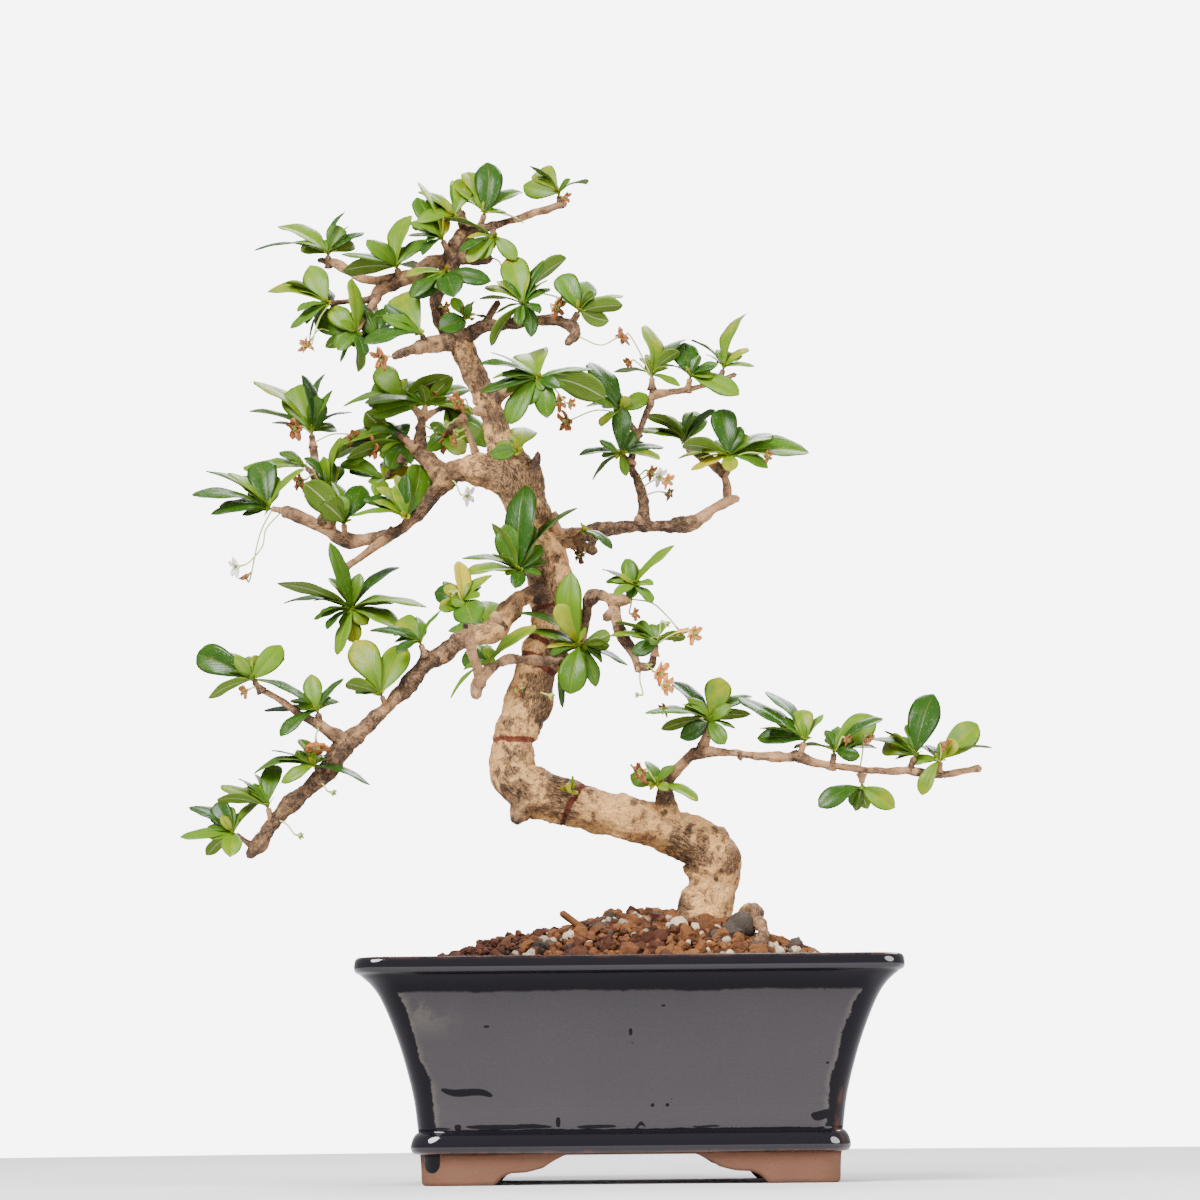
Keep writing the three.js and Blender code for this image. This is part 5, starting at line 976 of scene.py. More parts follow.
class BONSAI_OT_trunk(bpy.types.Operator):
    """Trunk: one swollen and furrowed tube with the marks of its training wires"""

    bl_idname = "bonsai.trunk"
    bl_label = "Trunk"

    def execute(self, context):
        wood = context.scene.bonsai_wood
        surface = Surface()
        carried_tube(surface, wood_path(TRUNK), TRUNK_SIDES, 0.9, wood.lumps / MM, wood.ridges / MM, 0.0, 11)
        shell = surface.points[0][:-2]
        middles = shell.reshape(-1, TRUNK_SIDES, 3).mean(1)
        wave, depth = 0.6 * noise(shell / 3, 5), 0.8 + 0.45 * noise(shell / 4, 8)
        scar = np.zeros(len(shell))
        for across, up, slant in WIRE_MARKS:
            row = np.argmin(np.linalg.norm(shell - place((across, 0, up)), axis=1)) // TRUNK_SIDES
            along = unit(middles[min(row + 3, len(middles) - 1)] - middles[row - 3])
            lean = unit(np.cross(along, (0, 1, 0)))
            out = shell - middles[row]
            away = out @ along + slant * (out @ lean)
            near = np.linalg.norm(out, axis=1) < WIRE_REACH
            scar = np.maximum(scar, near * np.exp(-((away + wave) / WIRE_HALF_WIDTH) ** 2) * depth)
        scar = np.clip(scar, 0, 1)
        outwards = unit(shell - np.repeat(middles, TRUNK_SIDES, axis=0))
        surface.points[0][:-2] = shell - outwards * (WIRE_DEPTH * scar)[:, None]
        surface.marks["scar"] = [np.append(scar, [0, 0])]
        surface.piece("wood_trunk", bark_finish("bark_trunk", wood), "bark", "wood")
        return {"FINISHED"}


class BONSAI_OT_limbs(bpy.types.Operator):
    """Limbs, twigs and the spurs that carry the leaves, each with a collar at its root"""

    bl_idname = "bonsai.limbs"
    bl_label = "Limbs"

    def execute(self, context):
        wood = context.scene.bonsai_wood
        surface = Surface()
        lumps, ridges = wood.lumps / MM * 1.1, wood.ridges / MM * 1.2
        for seed, rows in enumerate((*LIMBS.values(), *SMALL_WOOD.values())):
            sides = 28 if max(row[3] for row in rows) > 8 else 18
            carried_tube(surface, wood_path(rows), sides, 1.3, lumps, ridges, 0.3, 20 + seed)
        for seed, (start, seat, *_) in enumerate((*ROSETTES.values(), *SPROUTS.values())):
            root, end = place(start), place(seat)
            along = unit(end - root)
            rows = np.stack([root - along * 1.5, root * 0.5 + end * 0.5, end + along * 0.8])
            carried_tube(surface, np.column_stack([rows, (4.2, 3.0, 3.4)]), 10, 1.0, 0.9, 0.3, 0.3, 90 + seed)
        surface.piece("wood_limbs", bark_finish("bark_limbs", wood, 0.05, 0.8), "bark")
        return {"FINISHED"}


# Leaves

def turn_about(axis, degrees):
    """The matrix, for rows, of a turn about an axis (Rodrigues' formula)."""
    return np.array(Matrix.Rotation(math.radians(degrees), 3, Vector(axis))).T


def grown_leaves(index, seat_row, hidden, tones, leaves):
    """Every leaf of a rosette, as its tip from the seat, its width, its normal and its tone.

    A seen leaf's tip is its spot in the front drawing at a depth that gives it a real leaf's length,
    and its blade is turned edge on as far as it looks narrower than it is."""
    random = random_from(1000 + 37 * index)
    seat = place(seat_row)
    front = np.array((0.0, -1.0, 0.0))
    grown = []
    for i, (across, up, width, *under) in enumerate(leaves):
        face = -1 if under else 1
        flat = math.hypot(across, up)
        long = min(LEAF_MOST, max(LEAF_LEAST, 1.9 * width, flat))
        share = LEAF_DEPTH_SHARE * flat * (0.6 + 0.8 * random())
        depth = max(math.sqrt(max(0, long**2 - flat**2)), share)
        narrow = width < 0.2 * long
        towards = (1 if i % 2 else -1) if narrow else face * (-1 if up < 0 else 1)
        tip = place((seat_row[0] + across, seat_row[1] + towards * depth, seat_row[2] + up)) - seat
        broad = max(width, LEAF_SLENDER * np.linalg.norm(tip) * (0.8 if narrow else 1))
        square = unit(front - tip * (front @ tip) / (tip @ tip))
        side = unit(np.cross(tip, square))
        side = -side if side[2] < 0 else side
        share = min(1, width / broad)
        normal = square * face * share + side * math.sqrt(1 - share**2)
        grown.append((tip, broad, normal, TONES[tones[i]]))
    for i in range(hidden):
        angle = (random() - 0.5) * 1.2 + (0.9 if i % 2 else -0.9)
        tip = unit(np.array((math.sin(angle), math.cos(angle), 0.15 + 0.6 * random())))
        tip = tip * HIDDEN_LENGTH * (0.85 + 0.35 * random())
        normal = unit(np.array((0, 0, 1.0)) - tip * tip[2] / (tip @ tip))
        grown.append((tip, HIDDEN_WIDTH * (0.85 + 0.35 * random()), normal, 0.25))
    return seat, grown


def settled(seat, grown, corners):
    """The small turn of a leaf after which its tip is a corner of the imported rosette, or None."""
    tip, width, normal, tone = grown
    for turn, tilt in SWINGS:
        lift = turn_about((-tip[1], tip[0], 0.001), -tilt) @ turn_about((0, 0, 1), turn)
        end = tree_to_frame(seat + tip @ lift)
        if np.min(np.linalg.norm(corners - end, axis=1)) < 0.05:
            return tip @ lift, width, normal @ lift, tone
    return None


def between(grown, axis, random):
    """Younger leaves that fill a rosette: each points between two of the leaves there are, a little
    towards the spur's own direction, and is shorter than they are."""
    fill = []
    for k, first in enumerate(grown):
        second = grown[(k + 1 + int(2 * random())) % len(grown)]
        way = unit(unit(first[0]) + unit(second[0]) * (0.4 + random()) + axis * 0.5 * random())
        size = (0.44 + 0.3 * random()) * (np.linalg.norm(first[0]) + np.linalg.norm(second[0])) / 2
        tip = way * max(size, 9.0)
        facing = first[2] + second[2] * random() + np.array((0, -0.3, 0.3))
        normal = unit(facing - way * (way @ facing))
        tone = min(0.78, 0.5 * (first[3] + second[3]) + 0.35 * random() - 0.05)
        fill.append((tip, np.linalg.norm(tip) * (0.4 + 0.14 * random()), normal, tone))
    return fill


def blades(surface, root, end, width, normal, tone, seed, thickness):
    """Leaf blades as closed shells over (s, t), s along the midrib and t across.

    The midrib is a quadratic curve, bowed and a little sickle shaped. The half width goes as
    s^a (1 - s)^b, widest past the middle. The blade is folded along the midrib, rolled down at its
    margins, and waved a little."""
    s = np.linspace(0.015, 0.992, BLADE_ROWS)[None, :, None]
    top = np.linspace(-1, 1, BLADE_SIDES)
    t = np.concatenate([top, top[-2:0:-1]])[None, None, :]
    under = np.append(np.zeros(BLADE_SIDES), np.ones(BLADE_SIDES - 2))
    chance = (np.asarray(seed)[:, None] * GOLDEN_SHARE + np.arange(6) * 0.377) % 1
    chance = chance[:, :, None, None]
    power = 0.86 + 0.4 * chance[:, 0]
    end_power = 0.5 + 0.24 * chance[:, 1]
    widest = power / (power + end_power)
    shape = (s / widest) ** power * ((1 - s) / (1 - widest)) ** end_power
    stalk = 0.55 * np.exp(-((s / 0.3) ** 2))
    half = np.maximum(shape * width[:, None, None] / 2, stalk)
    size = np.linalg.norm(end - root, axis=1)[:, None, None, None]
    bow = 0.17 * (0.75 + 0.9 * chance[:, 2, :, :, None])
    way = unit(np.cross(end - root, normal))[:, None, None]
    sickle = 0.2 * (chance[:, 5, :, :, None] - 0.5)
    a, c, up = root[:, None, None], end[:, None, None], normal[:, None, None]
    middle = (a + c) / 2 + up * size * bow + way * size * sickle
    share = s[..., None]
    rib = (1 - share) ** 2 * a + 2 * share * (1 - share) * middle + share**2 * c
    along = unit(2 * (1 - share) * (middle - a) + 2 * share * (c - middle))
    up = unit(up - along * np.sum(up * along, -1, keepdims=True))
    side = np.cross(along, up)
    fold = 0.26 * chance[:, 3] + 0.02
    roll = 0.05 + 0.22 * chance[:, 4]
    wave = 0.05 * np.sin(2 * np.pi * (2.2 * s + chance[:, 5])) * np.sign(t) * t**2
    dent = 0.07 * np.exp(-((t / 0.16) ** 2))
    cross = half * (fold * np.abs(t) - roll * t**2 * (0.4 + s) + wave - dent)
    thick = thickness * (0.35 + 0.65 * np.sqrt(1 - t**2)) + 0.5 * stalk
    height = cross - under * thick
    spread = half * t * (1 - 0.12 * roll * t**2)
    surface.add(rib + side * spread[..., None] + up * height[..., None],
                ends=(root, end - up[:, 0, 0] * thickness / 2), across=t, along=s, under=under,
                tone=np.asarray(tone)[:, None, None],
                seed=np.asarray(seed, float)[:, None, None] * GOLDEN_SHARE % 1)


def leaf_finish(foliage):
    """Glossy blade: its green goes by age, lighter along the midrib and side veins, with pale flecks."""
    paint = Paint("leaf")
    across, along, under = abs(paint.mark("across")), paint.mark("along"), paint.mark("under")
    tone, seed = paint.mark("tone"), paint.mark("seed")
    spot = paint.spot()
    cloud = paint.noise(spot, 160.0)
    fine = paint.noise(spot, 900.0, 2.0)
    shade = tone + (cloud - 0.5) * 0.35 + (seed - 0.5) * 0.12 + (along - 0.5) * 0.1
    green = paint.ramp(
        shade, (0.0, foliage.old), (0.4, foliage.ripe), (0.74, foliage.young), (1.0, foliage.fading))
    rib = across.fall(0.02, 0.07)
    vein = ((across * 0.55 - along) * 52.0).sine().step(0.86, 1.0) * across.fall(0.75, 0.95)
    some = paint.noise(spot, 260.0, 2.0).step(0.5, 0.62)
    fleck = paint.cells(spot, 1500.0).fall(0.12, 0.22) * some * tone.fall(0.3, 0.7) * (1 - under)
    blemish = (paint.noise(spot, 420.0) + seed * 0.06).step(0.7, 0.76) * 0.55
    green = paint.coats(
        green,
        (rib * (0.12 + tone * 0.2), foliage.fading),
        (vein * 0.1, foliage.young),
        (across.step(0.94, 1.0) * 0.2, foliage.fading),
        (fleck * 0.55, (0.62, 0.68, 0.55)),
        (blemish, (0.12, 0.07, 0.03)),
    )
    back = paint.coats(
        foliage.under,
        (tone.step(0.2, 0.8) * 0.5, foliage.young),
        (rib * 0.4 + vein * 0.1, (0.62, 0.66, 0.4)),
    )
    rough = under * 0.25 + (fine - 0.5) * 0.25 + 0.32 + fleck * 0.2 + tone * 0.14
    height = 0 - rib * 0.5 - vein * 0.35 + cloud * 0.3 + fine * 0.12
    return paint.finish(Base_Color=paint.mix(under, green, back), Roughness=rough,
                        Normal=paint.bump(height, 0.0005, 0.7), Specular_IOR_Level=0.22)


def rosette(name, index, rows, finish, thickness, *nodes):
    """One rosette: its leaves round a tuft of scales on the spur."""
    start, seat_row, *leaves = rows
    seat, grown = grown_leaves(index, seat_row, *leaves)
    for node in nodes:
        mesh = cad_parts[node].data
        corners = np.empty(3 * len(mesh.vertices), np.float32)
        mesh.vertices.foreach_get("co", corners)
        corners = corners.reshape(-1, 3) / MM
        grown = [found for found in (settled(seat, leaf, corners) for leaf in grown) if found]
    axis = unit(seat - place(start))
    random = random_from(4000 + index)
    if name not in BARE_ROSETTES:
        grown += between(grown, axis, random)
    tips, widths, normals, tones = (np.array([leaf[k] for leaf in grown], float) for k in range(4))
    surface = Surface()
    count = len(grown)
    seeds = index * SEEDS_PER_ROSETTE
    blades(surface, np.repeat((seat + axis * BUD_RISE)[None], count, 0), seat + tips, widths * LEAF_FULLNESS,
           normals, tones, seeds + np.arange(count), thickness)
    turn = np.array([k * GOLDEN_TURN + random() for k in range(BUD_SCALES)])
    first = unit(np.cross(axis, (0.3, 0.2, 1)))
    out = around(turn, first, np.cross(axis, first))
    rise, reach, width = (np.array([least + more * random() for _ in range(BUD_SCALES)])
                          for least, more in ((0.5, 1.1), (3.0, 3.5), (1.8, 1.2)))
    direction = unit(out + axis * rise[:, None])
    facing = unit(axis - direction * (direction @ axis)[:, None])
    root = np.repeat((seat + axis * SCALE_RISE)[None], BUD_SCALES, 0)
    blades(surface, root, root + direction * reach[:, None], width, facing, np.full(BUD_SCALES, 0.85),
           seeds + 7 + np.arange(BUD_SCALES), SCALE_THICKNESS)
    surface.piece("foliage_" + name, finish, "leaf", *nodes)


class BONSAI_OT_foliage(bpy.types.Operator):
    """Foliage: one piece for each rosette, with its leaves where the solid has them"""

    bl_idname = "bonsai.foliage"
    bl_label = "Foliage"

    def execute(self, context):
        foliage = context.scene.bonsai_foliage
        finish = leaf_finish(foliage)
        thickness = foliage.thickness / MM
        for index, (name, rows) in enumerate(ROSETTES.items()):
            rosette(name, index, rows, finish, thickness, "leaves_" + name)
        for index, (name, rows) in enumerate(SPROUTS.items()):
            rosette(name, FIRST_SPROUT + index, rows, finish, thickness)
        return {"FINISHED"}


# Flowers

def bloom_finish(name, petal, calyx):
    """Thin dry or fresh petal: a little darker in its folds, green at the throat."""
    paint = Paint(name)
    patch = paint.noise(paint.spot(), 700.0, 4.0)
    base = paint.coats(
        petal,
        (patch.step(0.35, 0.65) * 0.55, times(0.45, petal)),
        (paint.mark("green"), paint.mix(patch, calyx, times(0.6, calyx))),
    )
    return paint.finish(Base_Color=base, Roughness=0.7, Normal=paint.bump(patch, 0.0004, 0.6))


def bloom(surface, stalk, size, kind, seed):
    """A stalk and a flower: five sepals and, but for a bare calyx, five petals. A petal ring's reach goes
    as 0.28 + 0.72 |cos(2.5 a)|^p, and dried petals are crumpled by noise."""
    path, arc = curve(stalk, 1.5)
    wide = 0.42 + 0.2 * np.exp(-((arc[-1] - arc) / 2.0) ** 2)
    side, up = frames(path)
    angle = 2 * np.pi * np.arange(6) / 6
    tube = path[:, None] + wide[:, None, None] * around(angle, side[:, None], up[:, None])
    surface.add(tube[None], green=1.0)
    throat, along = path[-1], unit(path[-1] - path[-2])
    first = unit(np.cross((0.3, 0.2, 1), along))
    second = np.cross(along, first)
    layers = [(0.55, 0.75, 0.5, 1.0)] if kind == "calyx" else [(0.36, 0.5, 0.5, 1.0), (1.0, 0.62, 0.8, 0.0)]
    crumple = {"withered": 0.2, "dry": 0.3, "peach": 0.14, "white": 0.05, "calyx": 0.1}[kind] * size
    turn = np.linspace(0, 2 * np.pi, 30, endpoint=False)
    share = np.array([0.06, 0.3, 0.6, 0.85, 1.0, 0.8, 0.5, 0.2])[:, None]
    lift = np.array([0, 0.25, 0.5, 0.78, 1.0, 0.93, 0.66, 0.3])[:, None]
    inner = (np.arange(8) > 4)[:, None] * 0.25
    for reach, rise, open_power, green in layers:
        lobe = 0.28 + 0.72 * np.abs(np.cos(2.5 * turn + 0.5 * green)) ** (1.6 if green else 0.9)
        out = size * reach * share**open_power * (share * lobe + (1 - share) * 0.5)
        ring = np.stack([out * np.cos(turn), out * np.sin(turn), lift * size * rise + inner + 0 * turn], -1)
        ring = ring + crumple * share[..., None] * np.stack(
            [noise(ring / 1.8 + 9 * seed + 31 * k, seed) for k in range(3)], -1)
        points = throat + ring[..., :1] * first + ring[..., 1:2] * second + ring[..., 2:] * along
        surface.add(points[None], green=green)


class BONSAI_OT_flowers(bpy.types.Operator):
    """Flowers: fresh, peach and withered blooms and bare calyxes, each on its stalk"""

    bl_idname = "bonsai.flowers"
    bl_label = "Flowers"

    def execute(self, context):
        flowers = context.scene.bonsai_flowers
        petals = {kind: getattr(flowers, kind) for kind in ("withered", "white", "peach", "calyx")}
        petals["dry"] = times(0.25, flowers.withered)
        finishes = {
            kind: bloom_finish("bloom_" + kind, petal, flowers.calyx) for kind, petal in petals.items()}
        for seed, (node, (stalk, size, kind)) in enumerate(BLOOMS.items()):
            surface = Surface()
            bloom(surface, place(stalk), size, kind, seed)
            surface.piece(node.replace("flower", "bloom"), finishes[kind], kind, node)
        wood = [curve(np.asarray(rows, float), 2.0)[0] for rows in (TRUNK, *LIMBS.values())]
        carriers = np.vstack([*wood, np.array([[*seat, 3] for _, seat, *_ in ROSETTES.values()], float)])
        gathered = {kind: Surface() for kind in petals}
        for seed, ((across, up, size), letter) in enumerate(zip(SMALL_BLOOMS, SMALL_BLOOM_KINDS)):
            away = np.hypot(carriers[:, 0] - across, carriers[:, 2] - up) + 0.15 * np.abs(carriers[:, 1])
            root = carriers[np.argmin(away)]
            spread = math.hypot(across - root[0], up - root[2])
            front = root[1] - root[3] * 0.5 - min(6, 0.3 * spread)
            middle = ((across + root[0]) / 2, (root[1] + front) / 2 - 2, (up + root[2]) / 2 + 0.12 * spread)
            shift = 1.5 if across > root[0] else -1.5
            stalk = (root[:3], middle, (across - shift, front, up + 0.5), (across, front - 1, up))
            kind = BLOOM_KINDS[letter]
            bloom(gathered[kind], place(stalk), size * SMALL_BLOOM_FULLNESS * 0.8, kind, 40 + seed)
        for kind, surface in gathered.items():
            slot = {"calyx": "leaf", "dry": "withered"}.get(kind, kind)
            surface.piece("small_blooms_" + kind, finishes[kind], slot)
        return {"FINISHED"}


# Soil

def mound_height(x, y):
    """The dome over the pot's mouth: highest beside the trunk, falling as a power of the way out,
    with a dip of exp(-(x / w)^2) left of its top."""
    out = np.hypot((x - SOIL_PEAK_X) / MOUTH_HALF, y / MOUTH_DEPTH_HALF)
    dip = SOIL_DIP * np.exp(-(((x - SOIL_DIP_X) / SOIL_DIP_WIDE) ** 2))
    return SOIL_EDGE + (SOIL_TOP - SOIL_EDGE) * np.maximum(0, 1 - out**DOME_POWER) - dip


def grain_finish(name, dry, damp, pitted):
    """Baked or volcanic grain: its tint by a number of its own, mottled, with a pitted skin whose sunken pits
    are darkened as painted shade.
    """
    paint = Paint(name)
    spot = paint.spot()
    patch = paint.noise(spot, 420.0, 4.0, 0.6)
    fine = paint.noise(spot, 1500.0, 3.0, 0.6)
    pits = paint.cells(spot, 900.0)
    base = paint.coats(
        damp,
        ((paint.mark("seed") + (patch - 0.5) * 0.7).step(0.15, 0.85), dry),
        # Painted shade: the pits that the bump sinks are darkened for the shade inside them.
        (pits.fall(0.1, 0.3) * pitted, times(0.3, damp)),
    )
    height = patch * 0.7 + fine * 0.4 + pits.step(0.0, 0.4) * 0.5 * pitted
    return paint.finish(Base_Color=base, Roughness=fine * 0.2 + 0.75, Normal=paint.bump(height, 0.0008, 0.8),
                        Specular_IOR_Level=0.2)


def pebble_shape():
    """A cube whose six faces are grids, drawn onto the sphere: its points, and its faces."""
    shape = bmesh.new()
    bmesh.ops.create_cube(shape, size=2.0)
    bmesh.ops.subdivide_edges(shape, edges=shape.edges, cuts=1, use_grid_fill=True)
    points = unit(np.array([vertex.co for vertex in shape.verts]))
    shape.verts.index_update()
    faces = np.array([[vertex.index for vertex in face.verts] for face in shape.faces])
    shape.free()
    return points, faces


def strew(surface, centres, sizes, seeds):
    """Grains: one rounded cube scaled, turned and dented by noise for each place."""
    shape, faces = pebble_shape()
    count = len(centres)
    generator = np.random.default_rng(17 + count)
    turns = np.linalg.qr(generator.normal(size=(count, 3, 3)))[0]
    stretch = generator.uniform(0.72, 1.2, (count, 1, 3))
    dents = noise(shape[None] * 1.3 + generator.uniform(0, 90, (count, 1, 3)), 3)
    points = shape[None] * (1 + 0.42 * dents)[..., None] * stretch * sizes[:, None, None]
    surface.join(points @ turns + centres[:, None], [faces], seed=np.repeat(seeds[:, None], len(shape), 1))


class BONSAI_OT_soil(bpy.types.Operator):
    """Soil: a bed of crumbs under loose grains of baked clay, pumice and lava"""

    bl_idname = "bonsai.soil"
    bl_label = "Soil"

    def execute(self, context):
        soil = context.scene.bonsai_soil
        self.bed(soil)
        self.grains(soil)
        self.pebble(soil)
        self.twig(soil)
        return {"FINISHED"}

    def bed(self, soil):
        """The solid's shape with a crumbly top: rings up the pot's wall, then smaller ones over the dome."""
        inside = pot_half(BED_HEIGHTS) - WALL - 0.6
        walls = rounded_rings(inside, BED_HEIGHTS, [CORNER_RADIUS] * len(BED_HEIGHTS))
        dome = walls[-1][None] * np.array(BED_SHARES)[:, None, None]
        dome[..., 2] = mound_height(dome[..., 0], dome[..., 1]) - 1.2
        dome[..., 2] += 0.8 * noise(dome / 3.1, 4) + 0.5 * noise(dome / 1.3, 6)
        surface = Surface()
        surface.add(np.concatenate([walls, dome])[None], seed=0.3)
        finish = grain_finish("clay_crumbs", soil.clay, soil.damp, 0.2)
        surface.piece("soil_bed", finish, "soil", "soil", turned=False)

    def grains(self, soil):
        """Layers of loose grains on a shaken lattice of triangles, finer and damper towards the left."""
        generator = np.random.default_rng(soil.seed)
        finishes = {
            "clay": grain_finish("clay_grains", soil.clay, soil.damp, 0.35),
            "crumb": grain_finish("dark_crumbs", soil.damp, times(0.5, soil.damp), 0.3),
            "pumice": grain_finish("pumice_grains", soil.pumice, times(0.45, soil.pumice), 0.9),
            "lava": grain_finish("lava_grains", soil.lava, times(0.45, soil.lava), 0.8),
        }
        surfaces = {name: Surface() for name in ("clay", "pumice", "lava", "crumb")}
        for wider, least, most, lift in GRAIN_LAYERS:
            spacing = soil.spacing * wider / MM
            columns = np.arange(-MOUTH_HALF, MOUTH_HALF, spacing)
            rows = np.arange(-MOUTH_DEPTH_HALF, MOUTH_DEPTH_HALF, spacing * 0.87)
            x, y = np.meshgrid(columns, rows)
            x = x + (np.arange(len(rows)) % 2)[:, None] * spacing / 2
            spots = np.stack([x, y], -1).reshape(-1, 2)
            spots = spots + generator.uniform(-0.36, 0.36, spots.shape) * spacing
            size = least + (most - least) * generator.uniform(0, 1, len(spots)) ** 1.8
            room = np.array((MOUTH_HALF, MOUTH_DEPTH_HALF)) - GRAIN_EDGE - size[:, None]
            keep = np.all(np.abs(spots) < room, axis=1)
            spots, size = spots[keep], size[keep]
            x = spots[:, 0]
            z = mound_height(x, spots[:, 1]) + lift * generator.uniform(-0.3, 1.2, len(x))
            centres = np.column_stack([spots, z])
            left = smooth_step(-x, 20, 75)
            size = size * (1 - 0.38 * left)
            pick = generator.uniform(0, 1, len(x))
            kind = np.select([pick < 0.1 * (1 - left), pick < 0.17 * (1 - left), pick < 0.26],
                             ["pumice", "lava", "crumb"], "clay")
            tone = generator.uniform(0, 1, len(x)) * (1 - 0.6 * left) + smooth_step(x, -10, 70) * 0.4
            tone = np.clip(tone, 0, 1)
            size = np.where(kind == "crumb", 0.8, 1) * size
            for name, surface in surfaces.items():
                chosen = kind == name
                strew(surface, centres[chosen], size[chosen], tone[chosen])
        for name, surface in surfaces.items():
            surface.piece("grains_" + name, finishes[name], "soil", smooth=name == "pumice", turned=False)

    def pebble(self, soil):
        """The round pebble: a ball of rings, dented by noise."""
        down = np.linspace(0.15, np.pi - 0.15, 14)[:, None, None]
        turn = np.linspace(0, 2 * np.pi, 22)[:-1]
        ball = np.sin(down) * around(turn, (1, 0, 0), (0, 1, 0)) - np.cos(down) * (0, 0, 1)
        ball = ball * PEBBLE_HALF * (1 + 0.1 * noise(ball * 1.2, 5))[..., None]
        surface = Surface()
        centre = (*PEBBLE_SPOT, mound_height(*PEBBLE_SPOT) + PEBBLE_LIFT)
        surface.add((ball + centre)[None], seed=0.35)
        finish = grain_finish("pebble", times(1.5, soil.lava), times(0.7, soil.lava), 0.6)
        surface.piece("grey_pebble", finish, "soil", turned=False)

    def twig(self, soil):
        surface = Surface()
        carried_tube(surface, wood_path(BURIED_TWIG), 12, 0.8, 0.8, 0.3, 0.0, 200)
        finish = grain_finish("buried_twig", soil.clay, times(0.85, soil.clay), 0.5)
        surface.piece("soil_twig", finish, "soil")


# Pot

def pot_half(z):
    """Half width of the flare that the inside follows: from the foot to the rim by a quarter of the way
    up and three quarters of its square."""
    share = np.clip((np.asarray(z, float) - BAND_TOP) / (RIM_BOTTOM - BAND_TOP), 0, None)
    return BODY_FOOT_HALF + (BODY_TOP_HALF - BODY_FOOT_HALF) * (0.25 * share + 0.75 * share**2)


def ring_pattern():
    """A rounded rectangle's points as anchors on its inner corners or sides, and directions outwards."""
    anchors, outward, turned = [], [], []
    corners = ((1, 1), (-1, 1), (-1, -1), (1, -1))
    for k, corner in enumerate(corners):
        angle = (k + np.linspace(0, 1, CORNER_PARTS + 1)) * np.pi / 2
        parts = LONG_PARTS if k % 2 == 0 else SHORT_PARTS
        share = np.arange(1, parts)[:, None] / parts
        anchors += [np.tile(corner, (len(angle), 1)),
                    np.array(corner) * (1 - share) + np.array(corners[(k + 1) % 4]) * share]
        outward += [np.stack([np.cos(angle), np.sin(angle)], -1),
                    np.tile((np.cos(angle[-1]), np.sin(angle[-1])), (parts - 1, 1))]
        turned += [np.minimum(angle - k * np.pi / 2, (k + 1) * np.pi / 2 - angle), np.zeros(parts - 1)]
    return np.vstack(anchors), np.vstack(outward), np.concatenate(turned)


ANCHORS, OUTWARD, CORNER_TURN = ring_pattern()


def rounded_rings(half, height, radius):
    """Rings (rows, sides, 3) of rounded rectangles: anchor times (half - radius), plus radius outwards."""
    half, height, radius = (np.asarray(column, float)[:, None] for column in (half, height, radius))
    x = ANCHORS[:, 0] * (half - radius) + OUTWARD[:, 0] * radius
    y = ANCHORS[:, 1] * (half - POT_NARROWER - radius) + OUTWARD[:, 1] * radius
    return np.stack([x, y, np.broadcast_to(height, x.shape)], -1)


